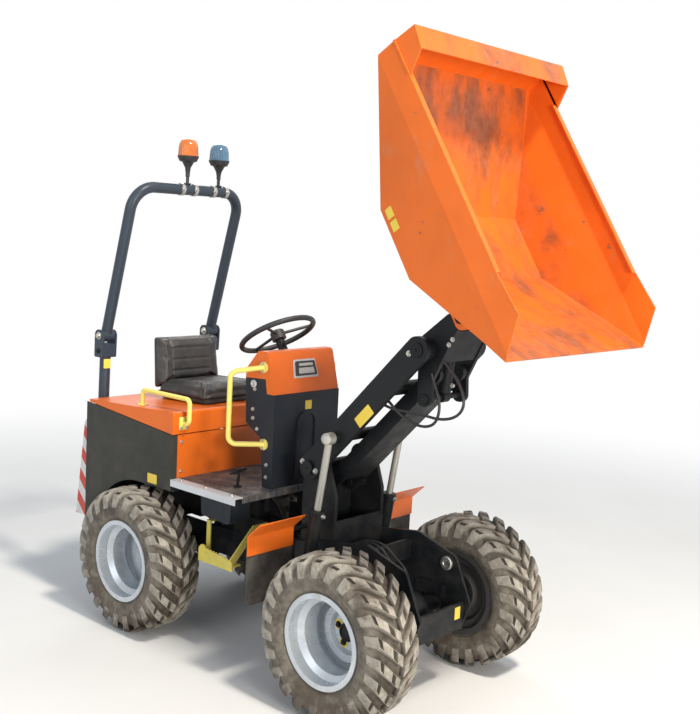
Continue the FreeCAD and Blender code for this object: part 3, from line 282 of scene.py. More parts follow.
def tyre_rubber():
    """Rubber under pale dried mud on the lugs, darker on the walls, wet and dark low down, with painted shade in
    the gaps and in the pits.
    """
    n = Nodes("tyre")
    rubber = n.mix(n.span(n.noise(7.0), 0.3, 0.7), (0.022, 0.021, 0.020), (0.06, 0.052, 0.043))
    dry = n.mix(n.span(n.noise(26.0, 9.0, 0.72), 0.32, 0.70), (0.38, 0.35, 0.30), (0.20, 0.175, 0.140))
    film = n.mix(n.span(n.noise(18.0, 9.0, 0.72), 0.34, 0.66), (0.20, 0.175, 0.140), (0.085, 0.070, 0.055))
    crown = n.add("ShaderNodeAttribute", attribute_name="crown")
    raised = n.span((crown, "Fac"), 0.30, 0.80)
    shade = n.mix(n.span(n.noise(5.5, 9.0, 0.68), 0.28, 0.46), rubber, film)
    lugs = n.mix(n.span(n.noise(8.5, 9.0, 0.68), 0.27, 0.40), film, dry)
    shade = n.mix(raised, shade, lugs)
    low = n.span(n.split(n.place, "Object", "Z"), 0.06, 0.44, 0.16, 0.0)
    damp = n.maths("ADD", n.noise(4.2, 8.0, 0.62), low)
    shade = n.mix(n.span(damp, 0.56, 0.70, 0.0, 0.85), shade, (0.075, 0.055, 0.040))
    # Painted shade: ambient occlusion darkens the gaps between the lugs.
    hollow = n.add("ShaderNodeAmbientOcclusion", samples=6)
    hollow.inputs["Distance"].default_value = 0.040
    gap_shade = n.span((hollow, "AO"), 0.25, 0.85, 0.85, 0.0)
    shade = n.mix(gap_shade, shade, (0.055, 0.042, 0.031))
    # Painted shade: the pit floors, which crown marks -0.4, go near black.
    pit_shade = n.span((crown, "Fac"), -0.35, 0.05, 0.9, 0.0)
    n.colour(n.mix(pit_shade, shade, (0.035, 0.028, 0.022)))
    n.rough(n.span(n.noise(12.0, 6.0), 0.3, 0.7, 0.72, 0.98))
    n.bump(n.maths("ADD", n.noise(28.0, 10.0, 0.7), n.maths("MULTIPLY", n.noise(170.0, 4.0), 0.3)), 0.5,
           0.008)
    return n.material


def chequer_floor(base):
    """Dark floor plate with raised tread bars and dried mud."""
    n = Nodes("floor_tread")
    wave = []
    for turn in (math.radians(45), math.radians(-45)):
        mapping = n.add("ShaderNodeMapping")
        mapping.inputs["Rotation"].default_value = (0, 0, turn)
        n.link(n.place, "Object", mapping, "Vector")
        bars = n.add("ShaderNodeTexBrick")
        bars.offset = 0.5
        for key, value in (("Scale", 1.0), ("Mortar Size", 0.009), ("Mortar Smooth", 0.4),
                           ("Brick Width", 0.034), ("Row Height", 0.026)):
            bars.inputs[key].default_value = value
        n.link(mapping, "Vector", bars, "Vector")
        wave.append((bars, "Fac"))
    both = n.maths("MULTIPLY", wave[0], wave[1])
    mask = dust_mask(n, 0.9, 0.2, 2.4, 12.0)
    n.colour(n.mix(mask, n.mix(both, base, tuple(c * 1.8 for c in base)), DUST))
    n.rough(n.span(n.noise(20.0), 0.3, 0.7, 0.4, 0.65))
    n.bump(both, 0.6, 0.003, 0.0015)
    return n.material


def plastic(name, base, rough=0.5, grain=260.0, depth=0.10, dust=0.55):
    """Moulded plastic or rubber with a fine grain and light dust."""
    n = Nodes(name)
    shade = n.mix(n.span(n.noise(6.0), 0.3, 0.7), base, tuple(c * 1.5 for c in base))
    mask = dust_mask(n, dust)
    n.colour(n.mix(mask, shade, DUST))
    n.rough(n.maths("ADD", n.span(n.noise(30.0), 0.3, 0.7, rough - 0.06, rough + 0.06),
                    n.maths("MULTIPLY", mask, 0.3)))
    n.bump(n.noise(grain, 3.0), depth, 0.0015, 0.0012)
    return n.material


def vinyl(name, base):
    """Seat vinyl with a pebbled leather grain and creases."""
    n = Nodes(name)
    shade = n.mix(n.span(n.noise(5.0, 6.0), 0.3, 0.7), base, tuple(c * 1.9 for c in base))
    n.colour(n.mix(dust_mask(n, 0.35, 0.6, 2.0), shade, DUST))
    n.rough(n.span(n.noise(18.0), 0.3, 0.7, 0.38, 0.55))
    cells = n.add("ShaderNodeTexVoronoi")
    cells.inputs["Scale"].default_value = 420.0
    n.link(n.place, "Object", cells, "Vector")
    creases = n.maths("MULTIPLY", n.noise(16.0, 6.0, 0.6), 1.6)
    n.bump(n.maths("ADD", (cells, "Distance"), creases), 0.22, 0.002)
    return n.material


def lens(name, base):
    """Coloured beacon lens: clear enough to glow, with a gloss surface."""
    n = Nodes(name)
    n.colour(n.mix(n.span(n.noise(16.0), 0.3, 0.7), base, tuple(c * 0.7 for c in base)))
    n.shader.inputs["Roughness"].default_value = 0.12
    n.shader.inputs["Transmission Weight"].default_value = 0.25
    n.shader.inputs["Coat Weight"].default_value = 0.6
    n.bump(n.noise(90.0), 0.02, 0.001)
    return n.material


def bright_metal(name, base, rough):
    """Plated or ground steel with fine turning marks and grime."""
    n = Nodes(name)
    grime = n.span(n.noise(24.0, 8.0, 0.7), 0.5, 0.72, 0.0, 0.6)
    n.colour(n.mix(grime, base, (0.16, 0.14, 0.12)))
    n.rough(n.maths("ADD", n.span(n.noise(60.0), 0.3, 0.7, rough - 0.05, rough + 0.1),
                    n.maths("MULTIPLY", grime, 0.3)))
    n.shader.inputs["Metallic"].default_value = 1.0
    n.bump(n.noise(300.0), 0.03, 0.001, 0.001)
    return n.material


def chevrons():
    """Red and white reflective stripes at 45 degrees."""
    n = Nodes("chevron_stripes")
    split = n.add("ShaderNodeSeparateXYZ")
    n.link(n.place, "Object", split, "Vector")
    slant = n.maths("ADD", n.maths("MULTIPLY", (split, "Z"), 1.0), (split, "X"))
    turns = n.maths("FRACT", n.maths("MULTIPLY", n.maths("ADD", slant, 0.0823), 7.0), 0.0)
    red = n.span(turns, 0.49, 0.51)
    stripes = n.mix(red, (0.72, 0.72, 0.70), (0.62, 0.045, 0.025))
    n.colour(n.mix(dust_mask(n, 0.5, 0.3, 1.4, 14.0), stripes, DUST))
    n.shader.inputs["Roughness"].default_value = 0.35
    n.bump(n.noise(500.0), 0.05, 0.001)
    return n.material


ORANGE = (0.78, 0.150, 0.012)
GREY = (0.042, 0.042, 0.037)
BLACK = (0.0085, 0.0100, 0.0125)

# Look: material and the name of the record's slot that it goes with
LOOKS = {
    "orange": (paint("orange", ORANGE, 0.38, 0.12, coat=0.08, specular=0.35), "orange"),
    "skip": (paint("skip", ORANGE, 0.40, 0.14, coat=0.05, splash=0.7, load=0.72, specular=0.35), "orange"),
    "panel": (paint("panel", GREY, 0.50, 0.22, specular=0.20), "panel_grey"),
    "console": (paint("console", (0.018, 0.023, 0.031), 0.40, 0.10, specular=0.20), "dark_plastic"),
    "arm": (paint("arm", (0.012, 0.014, 0.016), 0.42, 0.08, specular=0.18), "arm_grey"),
    "black": (paint("black", BLACK, 0.42, 0.14, specular=0.18), "frame_black"),
    "rops": (paint("rops", (0.036, 0.050, 0.070), 0.36, 0.05, specular=0.30), "rops_blue_grey"),
    "yellow": (paint("yellow", (0.86, 0.74, 0.17), 0.38, 0.12), "yellow"),
    "step_yellow": (paint("step_yellow", (0.72, 0.60, 0.10), 0.46, 0.55, splash=0.8), "step_yellow"),
    "step": (paint("step", (0.60, 0.62, 0.64), 0.42, 0.25), "step_grey"),
    "plate": (paint("plate", (0.84, 0.62, 0.07), 0.35, 0.15), "yellow"),
    "white": (paint("white", (0.50, 0.49, 0.45), 0.42, 0.25), "chrome"),
    "screen": (paint("screen", (0.50, 0.50, 0.47), 0.25, 0.05), "dark_plastic"),
    "floor": (chequer_floor((0.035, 0.038, 0.042)), "frame_black"),
    "rim": (silver_rim(), "rim_silver"),
    "tyre": (tyre_rubber(), "tyre"),
    "plastic": (plastic("plastic", (0.012, 0.012, 0.013)), "black_plastic"),
    "hose": (plastic("hose", (0.010, 0.010, 0.011), 0.42, 600.0, 0.15, 0.16), "black_plastic"),
    "flap": (plastic("flap", (0.022, 0.021, 0.020), 0.75, 120.0, 0.3), "flap_rubber"),
    "vinyl": (vinyl("vinyl", (0.012, 0.012, 0.013)), "seat_vinyl"),
    "amber": (lens("amber", (0.90, 0.22, 0.015)), "amber_lens"),
    "blue": (lens("blue", (0.10, 0.24, 0.38)), "blue_lens"),
    "rod": (paint("rod", (0.42, 0.41, 0.37), 0.34, 0.10, metal=0.45), "chrome"),
    "zinc": (bright_metal("zinc", (0.50, 0.49, 0.46), 0.40), "chrome"),
    "chevron": (chevrons(), "yellow"),
}

NODE_LOOKS = {
    "orange": ("console_cover", "engine_hood", "front_panel", "mudguards"),
    "skip": ("skip",),
    "panel": ("side_panel_left", "side_panel_right", "rear_panel", "counterweight"),
    "console": ("console_body", "tank", "battery_box"),
    "arm": ("lift_arms",),
    "black": ("rear_chassis", "rear_axle", "engine_block", "steering_column", "front_chassis", "lift_tower",
              "front_axle", "guard_brackets", "levelling_link", "carrier", "lift_barrels", "tip_barrel",
              "steer_barrel", "hood_hinges", "pedal"),
    "rops": ("rops_posts", "rops_hoop"),
    "yellow": ("grab_handles", "hood_handle"),
    "step_yellow": ("side_steps",),
    "step": ("floor_edges",),
    "floor": ("floor_plate",),
    "rim": tuple("rim_" + w for w in WHEELS),
    "plastic": ("steering_wheel",),
    "flap": ("mud_flaps",),
    "amber": ("beacon_amber",),
    "blue": ("beacon_blue",),
    "vinyl": ("seat",),
    "rod": ("lift_rods", "tip_rod", "steer_rod"),
    "tyre": tuple("tyre_" + w for w in WHEELS),
}


def dress_nodes():
    for look, names in NODE_LOOKS.items():
        for name in names:
            mesh = nodes[name].data
            mesh.materials.clear()
            mesh.materials.append(LOOKS[look][0])


# Meshes

def piece(name, mesh, look, body):
    """Links a finished mesh as a piece that rides on a body."""
    obj = loose(name, mesh, look)
    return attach(obj, body)


def loose(name, mesh, look):
    """A dressed piece that doesn't ride on a body yet."""
    mesh.materials.clear()
    mesh.materials.append(LOOKS[look][0])
    obj = bpy.data.objects.new(name, mesh)
    bpy.context.scene.collection.objects.link(obj)
    return obj


def from_bmesh(name, bm, smooth=True):
    mesh = bpy.data.meshes.new(name)
    bm.to_mesh(mesh)
    bm.free()
    if smooth:
        mesh.shade_smooth()
        mesh.set_sharp_from_angle(angle=math.radians(35))
    return mesh


def facing(direction):
    """Rotation that turns +Z towards a direction."""
    return Vector(direction).to_track_quat("Z", "Y").to_matrix().to_4x4()


def spun(bm, profile, place, steps=32, ribs=0.0):
    """Adds a profile of (height, radius) points turned about local Z; ribs is their share of the radius."""
    rings = []
    for height, radius in profile:
        if radius < 1e-6:
            rings.append([bm.verts.new(place @ Vector((0, 0, height)))])
            continue
        ring = []
        for i in range(steps):
            a = 2 * math.pi * i / steps
            r = radius * (1 - ribs * (i % 2))
            ring.append(bm.verts.new(place @ Vector((r * math.cos(a), r * math.sin(a), height))))
        rings.append(ring)
    for low, high in zip(rings, rings[1:]):
        for i in range(steps):
            j = (i + 1) % steps
            corners = [low[i % len(low)], low[j % len(low)], high[j % len(high)], high[i % len(high)]]
            kept = list(dict.fromkeys(corners))
            if len(kept) > 2:
                bm.faces.new(kept)
    return bm


def hex_bolt(bm, place, across=0.017, washer=True):
    """A washer with a hexagon head on it, standing on the local XY plane."""
    r = across / math.sqrt(3)
    if washer:
        spun(bm, [(0.0, 0.0), (0.0, r * 1.45), (0.0018, r * 1.5), (0.0025, r * 1.4), (0.0025, 0.0)], place,
             20)
    top = place @ Matrix.Translation((0, 0, 0.0025))
    h = across * 0.55
    spun(bm, [(0.0, 0.0), (0.0, r), (h * 0.85, r), (h, r * 0.86), (h, 0.0)], top, 6)


def bolts(name, spots, body, look="zinc", across=0.017):
    """One piece of many bolts; each spot is a point and an outward direction."""
    bm = bmesh.new()
    for point, direction in spots:
        hex_bolt(bm, Matrix.Translation(point) @ facing(direction), across)
    return piece(name, from_bmesh(name, bm), look, body)


def caps(name, spots, body, look="black", radius=0.03, height=0.008):
    """Chamfered pin caps with a grease nipple in the middle."""
    bm = bmesh.new()
    for point, direction in spots:
        place = Matrix.Translation(point) @ facing(direction)
        spun(bm, [(0.0, 0.0), (0.0, radius), (height * 0.7, radius), (height, radius * 0.9), (height, 0.007),
                  (height + 0.004, 0.006), (height + 0.010, 0.003), (height + 0.012, 0.0)], place, 28)
    return piece(name, from_bmesh(name, bm), look, body)


def slab(bm, low, high, bevel=0.001):
    """A box with broken edges."""
    made = bmesh.ops.create_cube(bm, size=1.0)["verts"]
    middle = (Vector(low) + Vector(high)) / 2
    size = Vector(high) - Vector(low)
    for v in made:
        v.co = Vector((v.co.x * size.x, v.co.y * size.y, v.co.z * size.z)) + middle
    edges = list({e for v in made for e in v.link_edges})
    if bevel > 0:
        bmesh.ops.bevel(bm, geom=edges, offset=bevel, segments=2, affect="EDGES")
    return bm


def frame_at(centre, outward, up):
    """Local frame on a surface: X to the right, Y up and Z outward."""
    z = Vector(outward).normalized()
    x = Vector(up).cross(z).normalized()
    y = z.cross(x)
    turn = Matrix((x, y, z)).transposed().to_4x4()
    return Matrix.Translation(centre) @ turn


def rounded(bm, place, width, height, thick, corner=0.004, low=0.0, narrow=0.0):
    """A plate with rounded corners and a broken upper edge; narrow makes its top edge shorter."""
    rows = []
    for level, inset in ((low, 0.0), (low + thick * 0.6, 0.0),
                         (low + thick, min(thick * 0.4, corner * 0.5))):
        row = []
        for sx, sy, first in ((1, 1, 0), (-1, 1, 90), (-1, -1, 180), (1, -1, 270)):
            for step in range(5):
                a = math.radians(first + step * 22.5)
                r = corner - inset
                x = sx * (width / 2 - corner) + r * math.cos(a)
                y = sy * (height / 2 - corner) + r * math.sin(a)
                x *= 1 - narrow * (y / height + 0.5)
                row.append(bm.verts.new(place @ Vector((x, y, level))))
        rows.append(row)
    for one, two in zip(rows, rows[1:]):
        for i in range(len(one)):
            j = (i + 1) % len(one)
            bm.faces.new((one[i], one[j], two[j], two[i]))
    bm.faces.new(rows[-1])
    bm.faces.new(tuple(reversed(rows[0])))


def blank_plates(name, spots, body, look="plate", thick=PLATE_THICK):
    """One piece of blank plates; each spot is centre, outward, up, width and height."""
    bm = bmesh.new()
    for centre, outward, up, width, height in spots:
        rounded(bm, frame_at(centre, outward, up), width, height, thick)
    return piece(name, from_bmesh(name, bm), look, body)


def mirrored_spots(spots):
    """The same spots on both sides of the machine."""
    flip = Vector((1, -1, 1))
    return list(spots) + [(Vector(p) * flip, Vector(d) * flip) for p, d in spots]


def rings(name, spots, body, look, profile, steps=32):
    """One piece of turned forms; each spot is a point and a direction."""
    bm = bmesh.new()
    for point, direction in spots:
        spun(bm, profile, Matrix.Translation(point) @ facing(direction), steps)
    return piece(name, from_bmesh(name, bm), look, body)


# Tyres and wheels

def tread_point(radius, across, places, side):
    a = 2 * math.pi * places / LUGS
    return Vector((radius * math.cos(a), side * across, radius * math.sin(a)))


def lug(bm, crown, side, place):
    """One swept bar over the shoulder, with two pits in its top; crown marks its raised corners."""
    rows = []
    for across, base, top, sweep in LUG_RINGS:
        row = []
        for offset, radius in ((-LUG_FOOT, base - 0.003), (-LUG_TOP, top), (LUG_TOP, top),
                               (LUG_FOOT, base - 0.003)):
            row.append(bm.verts.new(tread_point(radius, across, place + sweep + offset, side)))
            row[-1][crown] = 1.0 if abs(offset) == LUG_TOP else 0.25
        rows.append(row)
    tops = []
    for one, two in zip(rows, rows[1:]):
        for i in range(3):
            face = bm.faces.new((one[i], one[i + 1], two[i + 1], two[i]))
            if i == 1:
                tops.append(face)
    for row in (rows[0], rows[-1]):
        bm.faces.new(row)
    return [tops[1], tops[4]]


def tyre_mesh(name):
    """Carcass with a row of bars on each side of the tread's middle."""
    bm = bmesh.new()
    crown = bm.verts.layers.float.new("crown")
    half = [(0.0, 0.352)] + [(across, base) for across, base, top, sweep in LUG_RINGS] + list(WALL)
    section = [(-across, radius) for across, radius in reversed(half)] + half[1:]
    hoops = []
    for across, radius in section:
        hoops.append([bm.verts.new((radius * math.cos(a), across, radius * math.sin(a)))
                      for a in (2 * math.pi * i / TREAD_STEPS for i in range(TREAD_STEPS))])
    for low, high in zip(hoops, hoops[1:]):
        for i in range(TREAD_STEPS):
            j = (i + 1) % TREAD_STEPS
            bm.faces.new((low[i], low[j], high[j], high[i]))
    pits = []
    for side in (-1, 1):
        for k in range(LUGS):
            pits += lug(bm, crown, side, k + (0.0 if side > 0 else 0.5))
    bmesh.ops.recalc_face_normals(bm, faces=bm.faces)
    ways = {face: face.normal.copy() for face in pits}
    bmesh.ops.inset_individual(bm, faces=pits, thickness=0.0085)
    for face, way in ways.items():
        for v in face.verts:
            v.co -= way * 0.009
            # Pit floors are marked for painted shade in the tyre material.
            v[crown] = -0.4
    return from_bmesh(name, bm)


def make_tyres():
    for wheel in WHEELS:
        side = 1 if wheel.endswith("left") else -1
        mesh = tyre_mesh("tread_" + wheel)
        if side < 0:
            mesh.transform(Matrix.Scale(-1, 4, (0, 1, 0)))
            mesh.flip_normals()
        mesh.transform(Matrix.Translation(joint_place("wheel_" + wheel)))
        obj = piece("tread_" + wheel, mesh, "tyre", "wheel_" + wheel)
        bevel = obj.modifiers.new("edges", "BEVEL")
        bevel.width = 0.0022
        bevel.segments = 2
        bevel.limit_method = "ANGLE"
        bevel.angle_limit = math.radians(38)
        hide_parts("tyre_" + wheel)


def make_wheel_details():
    """Five dark nuts on yellow markers, a black disc painted as the shade of the deep hub bore, and a valve on each
    rim.
    """
    nut_circle = 0.0680
    disc_face = -0.0839
    for wheel in WHEELS:
        side = 1 if wheel.endswith("left") else -1
        body = "wheel_" + wheel
        centre = joint_place(body)
        outward = Vector((0, side, 0))
        spots = []
        for k in range(5):
            a = 2 * math.pi * (k + 0.35) / 5
            spots.append((centre + Vector((nut_circle * math.cos(a), side * disc_face,
                                           nut_circle * math.sin(a))), outward))
        rings("markers_" + wheel, spots, body, "plate",
              [(0, 0), (0, 0.0245), (0.002, 0.024), (0.003, 0.014), (0.003, 0)], 20)
        lifted = [(p + outward * 0.0025, d) for p, d in spots]
        bolts("nuts_" + wheel, lifted, body, "black", 0.019)
        hub = centre + outward * -0.0664
        # Painted shade: a black recessed disc stands where the hub's deep bore is dark.
        rings("hub_bore_shade_" + wheel, [(hub, outward)], body, "black",
              [(0, 0), (0, 0.0425), (0.004, 0.0435), (0.010, 0.041), (0.012, 0.034), (0.006, 0.031),
               (0.006, 0)], 36)
        stem = centre + Vector((0.155, side * -0.048, 0.0))
        rings("valve_" + wheel, [(stem, (-0.5, side, 0))], body, "hose",
              [(0, 0), (0, 0.005), (0.018, 0.004), (0.034, 0.004), (0.034, 0)], 12)


# Seat

def pad_mesh(outline, half, corner):
    """A rounded block from a side-view outline of (x, z) points, as wide as half to each side."""
    bm = bmesh.new()
    sides = []
    for y in (-half, half):
        sides.append([bm.verts.new((x, y, z)) for x, z in outline])
    for i in range(len(outline)):
        j = (i + 1) % len(outline)
        bm.faces.new((sides[0][i], sides[0][j], sides[1][j], sides[1][i]))
    bm.faces.new(sides[0])
    bm.faces.new(tuple(reversed(sides[1])))
    bmesh.ops.recalc_face_normals(bm, faces=bm.faces)
    bmesh.ops.bevel(bm, geom=list(bm.edges), offset=corner, segments=4, affect="EDGES", profile=0.6)
    mesh = bpy.data.meshes.new("pad")
    bm.to_mesh(mesh)
    bm.free()
    return mesh


def applied(obj):
    """The mesh of an object with its modifiers worked out."""
    bpy.context.view_layer.update()
    graph = bpy.context.evaluated_depsgraph_get()
    mesh = bpy.data.meshes.new_from_object(obj.evaluated_get(graph))
    obj.modifiers.clear()
    obj.data = mesh
    return mesh


def inflated(name, mesh, base, base_way, cap):
    """Voxel remesh, then a cloth simulation under light pressure; what lies near the base plane is held."""
    obj = bpy.data.objects.new(name, mesh)
    bpy.context.scene.collection.objects.link(obj)
    remesh = obj.modifiers.new("even", "REMESH")
    remesh.mode = "VOXEL"
    remesh.voxel_size = 0.0075
    mesh = applied(obj)
    rest = [v.co.copy() for v in mesh.vertices]
    held = obj.vertex_groups.new(name="held")
    held.add([v.index for v in mesh.vertices if (v.co - base).dot(base_way) < 0.012], 1.0, "REPLACE")
    cloth = obj.modifiers.new("fill", "CLOTH")
    cloth.settings.use_pressure = True
    cloth.settings.uniform_pressure_force = 4.0
    cloth.settings.effector_weights.gravity = 0.0
    cloth.settings.vertex_group_mass = "held"
    cloth.point_cache.frame_start = 1
    cloth.point_cache.frame_end = 20
    for number in range(1, 21):
        bpy.context.scene.frame_set(number)
    mesh = applied(obj)
    bpy.context.scene.frame_set(1)
    for v, before in zip(mesh.vertices, rest):
        move = v.co - before
        if move.length > cap:
            v.co = before + move * (cap / move.length)
    return obj, mesh


def make_seat():
    """A moulded tray with a cushion and a backrest, sewn in channels."""
    low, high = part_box("seat")
    x0 = low.x
    z0 = low.z
    bm = bmesh.new()
    slab(bm, (x0 + 0.045, -0.205, z0 + 0.024), (high.x - 0.010, 0.205, z0 + 0.046), 0.006)
    slab(bm, (x0 + 0.060, -0.175, z0 + 0.004), (x0 + 0.100, 0.175, z0 + 0.026), 0.002)
    slab(bm, (high.x - 0.120, -0.175, z0 + 0.018), (high.x - 0.080, 0.175, z0 + 0.030), 0.002)
    tray = piece("seat_tray", from_bmesh("seat_tray", bm), "plastic", "hood")
    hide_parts("seat")
    cushion = [(x0 + 0.075, z0 + 0.045), (high.x - 0.016, z0 + 0.045), (high.x - 0.010, z0 + 0.105),
               (high.x - 0.045, z0 + 0.118), (x0 + 0.075, z0 + 0.100)]
    back = [(x0 + 0.030, z0 + 0.055), (x0 + 0.100, z0 + 0.085), (x0 + 0.070, z0 + 0.338),
            (x0 + 0.012, z0 + 0.338)]
    pads = (("seat_cushion", cushion, Vector((0, 0, z0 + 0.045)), Vector((0, 0, 1)), 0.5, "x"),
            ("seat_back", back, Vector((x0 + 0.020, 0, z0 + 0.2)), Vector((1, 0, 0.1)), 0.5, "z"))
    for name, outline, base, way, fill, run in pads:
        obj, mesh = inflated(name, pad_mesh(outline, 0.212, 0.016), base, way, 0.012)
        for v in mesh.vertices:
            if (v.co - base).dot(way) > 0.03:
                along = v.co.x - x0 if run == "x" else v.co.z - z0
                seam = groove(abs(abs(v.co.y) - 0.140), 0.007)
                if abs(v.co.y) < 0.140:
                    seam = max(seam, groove((along * 1000 % 62) / 1000 - 0.031, 0.006) * 0.8)
                v.co -= way.normalized() * 0.0065 * seam
        smooth = obj.modifiers.new("smooth", "SUBSURF")
        smooth.levels = 1
        smooth.render_levels = 1
        mesh = applied(obj)
        mesh.shade_smooth()
        mesh.materials.clear()
        mesh.materials.append(LOOKS["vinyl"][0])
        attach(obj, "hood")


def groove(distance, width):
    """Depth from 0 to 1 of a sewn channel at a distance from its line."""
    return math.exp(-(distance / width) ** 2)


# Warning beacons

def make_beacons():
    for name, look, stem in (("beacon_amber", "amber", 0.120), ("beacon_blue", "blue", 0.112)):
        low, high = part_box(name)
        foot = Vector(((low.x + high.x) / 2, (low.y + high.y) / 2, low.z))
        height = high.z - low.z
        skirt = stem + 0.034
        base = [(0, 0), (0, 0.020), (0.006, 0.020), (0.006, 0.009), (0.040, 0.009), (0.042, 0.012),
                (0.060, 0.012),
                (stem - 0.030, 0.016), (stem, 0.032), (stem + 0.006, 0.048), (stem + 0.026, 0.058),
                (skirt, 0.0595), (skirt, 0)]
        stand = rings(name + "_base", [(foot, (0, 0, 1))], "rops", "plastic", base, 40)
        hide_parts(name)
        bm = bmesh.new()
        dome = [(skirt, 0), (skirt, 0.0575), (skirt + 0.004, 0.0560), (height - 0.046, 0.0530),
                (height - 0.026, 0.0485),
                (height - 0.010, 0.0380), (height - 0.002, 0.0200), (height, 0)]
        spun(bm, dome, Matrix.Translation(foot), 96, 0.022)
        piece(name + "_lens", from_bmesh(name + "_lens", bm), look, "rops")
        clamp = [(-0.011, 0.0305), (-0.011, 0.0345), (0.011, 0.0345), (0.011, 0.0305)]
        spots = [(foot + Vector((0, s * 0.045, -0.0303)), (0, 1, 0)) for s in (-1, 1)]
        rings(name + "_clamps", spots, "rops", "zinc", clamp, 40)
        bolts(name + "_bolts", [(foot + Vector((0.030, s * 0.045, -0.030)), (1, 0, 0)) for s in (-1, 1)],
              "rops")


# Console

def make_console_details():
    """Framed switch panel with a blank face, side bolts, a grey ring and the handles' bolts."""
    slope = Vector((0.208, 0, 0.055)).normalized()
    up = Vector((-0.055, 0, 0.208)).normalized()
    centre = at(-0.005 - 0.055 * 0.56, 0.008, 1.322 + 0.208 * 0.56) + slope * 0.0003
    place = frame_at(centre, slope, up)
    bm = bmesh.new()
    rounded(bm, place, 0.178, 0.094, 0.004, 0.010, 0.0, 0.14)
    piece("switch_frame", from_bmesh("switch_frame", bm), "step", "machine")
    bm = bmesh.new()
    rounded(bm, place, 0.156, 0.074, 0.0065, 0.007, 0.0035, 0.12)
    piece("switch_panel", from_bmesh("switch_panel", bm), "plastic", "machine")
    bm = bmesh.new()
    lower = place @ Matrix.Translation((0, -0.012, 0))
    rounded(bm, lower, 0.112, 0.030, 0.0018, 0.004, 0.0095, 0.05)
    rounded(bm, place @ Matrix.Translation((0, 0.019, 0)), 0.100, 0.014, 0.0018, 0.003, 0.0095)
    piece("switch_windows", from_bmesh("switch_windows", bm), "screen", "machine")
    side = -0.2332
    spots = [(at(x, side, z), Vector((0, -1, 0))) for x, z in
             ((-0.142, 1.336), (-0.151, 1.233), (-0.148, 1.188), (-0.116, 1.137), (-0.040, 0.967),
              (-0.040, 0.905))]
    bolts("console_bolts", mirrored_spots(spots), "machine", "zinc", 0.012)
    rings("console_ring", [(at(-0.150, side, 1.362), (0, -1, 0))], "machine", "step",
          [(0, 0.012), (0, 0.019), (0.006, 0.019), (0.008, 0.0165), (0.008, 0.0125), (0.001, 0.012),
           (0.001, 0)])
    face = 0.2413
    spots = []
    for x, z in ((-0.082, 1.452), (-0.062, 1.068)):
        for dx, dz in ((0.0, 0.0205), (0.0, -0.0205)):
            spots.append((at(x + dx, -face, z + dz), Vector((0, -1, 0))))
    bolts("handle_bolts", mirrored_spots(spots), "machine", "zinc", 0.010)
    blank_plates("console_plate", [(at(0.0003, 0.008, 1.256), (1, 0, 0), (0, 0, 1), 0.046, 0.046)],
                 "machine")
    hub_low, hub_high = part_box("steering_wheel")
    middle = (hub_low + hub_high) / 2
    wheel_up = Vector((-math.sin(math.radians(32)), 0, math.cos(math.radians(32))))
    rings("wheel_boss", [(middle + wheel_up * 0.012, wheel_up)], "machine", "plastic",
          [(0, 0), (0, 0.036), (0.005, 0.035), (0.009, 0.028), (0.010, 0)])
    rings("column_boot", [(middle - wheel_up * 0.150, wheel_up)], "machine", "plastic",
          [(0.052, 0.0243), (0.052, 0.030), (0.046, 0.038), (0.040, 0.031), (0.034, 0.041), (0.028, 0.033),
           (0.020, 0.044)])


# Bodywork of the rear frame and the engine cover

def make_body_details():
    """Chevron strips, blank plates, panel bolts and the feet of the hood handle."""
    board = ((-1.205, 1.023), (-1.248, 1.023), (-1.318, 0.489), (-1.205, 0.489))
    for side, word in ((-1, "right"), (1, "left")):
        bm = bmesh.new()
        rows = [[bm.verts.new(at(x, side * y, z)) for x, z in board] for y in (0.440, 0.4726)]
        for i in range(4):
            bm.faces.new((rows[0][i], rows[0][(i + 1) % 4], rows[1][(i + 1) % 4], rows[1][i]))
        bm.faces.new(rows[0])
        bm.faces.new(rows[1])
        bmesh.ops.recalc_face_normals(bm, faces=bm.faces)
        piece("chevrons_" + word, from_bmesh("chevrons_" + word, bm), "chevron", "machine")
    blank_plates("side_plate", [(at(-0.602, -0.5001, 0.826), (0, -1, 0), (0, 0, 1), 0.076, 0.050)],
                 "machine")
    front = -0.4549
    spots = [(at(front, y, z), Vector((1, 0, 0))) for y in (-0.435, 0.435) for z in (1.035, 0.885)]
    bolts("front_panel_bolts", spots, "machine", "zinc", 0.011)
    bm = bmesh.new()
    rounded(bm, frame_at(at(-0.4499, -0.430, 1.133), (1, 0, 0), (0, 0, 1)), 0.056, 0.066, 0.006, 0.006)
    piece("handle_foot", from_bmesh("handle_foot", bm), "yellow", "hood")
    spots = [(at(-0.4439, -0.430 + dy, 1.133 - 0.022), Vector((1, 0, 0))) for dy in (-0.019, 0.019)]
    bolts("handle_foot_bolts", spots, "hood", "zinc", 0.010)
    rings("handle_rear_foot", [(at(-0.790, -0.430, 1.1776), (-0.046, 0, 1))], "hood", "yellow",
          [(0, 0.0125), (0, 0.028), (0.005, 0.028), (0.006, 0.026), (0.006, 0.0125)])
    spots = [(at(x, -0.4725, 0.8502), Vector((0, 0, 1))) for x in (-0.40, -0.21, -0.02)]
    bolts("floor_edge_bolts", mirrored_spots(spots), "machine", "zinc", 0.011)


def make_roll_bar_details():
    """Hinge bolts and pins, and a blank plate on the posts."""
    pivot = joint_place("rops_fold")
    spots = []
    for y in (-0.375, 0.375):
        for s in (-1, 1):
            spots.append((Vector((pivot.x, y + s * 0.0462, pivot.z)), Vector((0, s, 0))))
    bolts("roll_bar_bolts", spots, "machine", "zinc", 0.024)
    lower = [(p + Vector((-0.004, 0, -0.085)), d) for p, d in spots]
    bolts("roll_bar_pins", lower, "machine", "black", 0.017)
    blank_plates("post_plate", [(at(-1.1805, -0.382, 1.345), (1, -0.25, 0), (0, 0, 1), 0.040, 0.052)],
                 "machine")


# Linkage

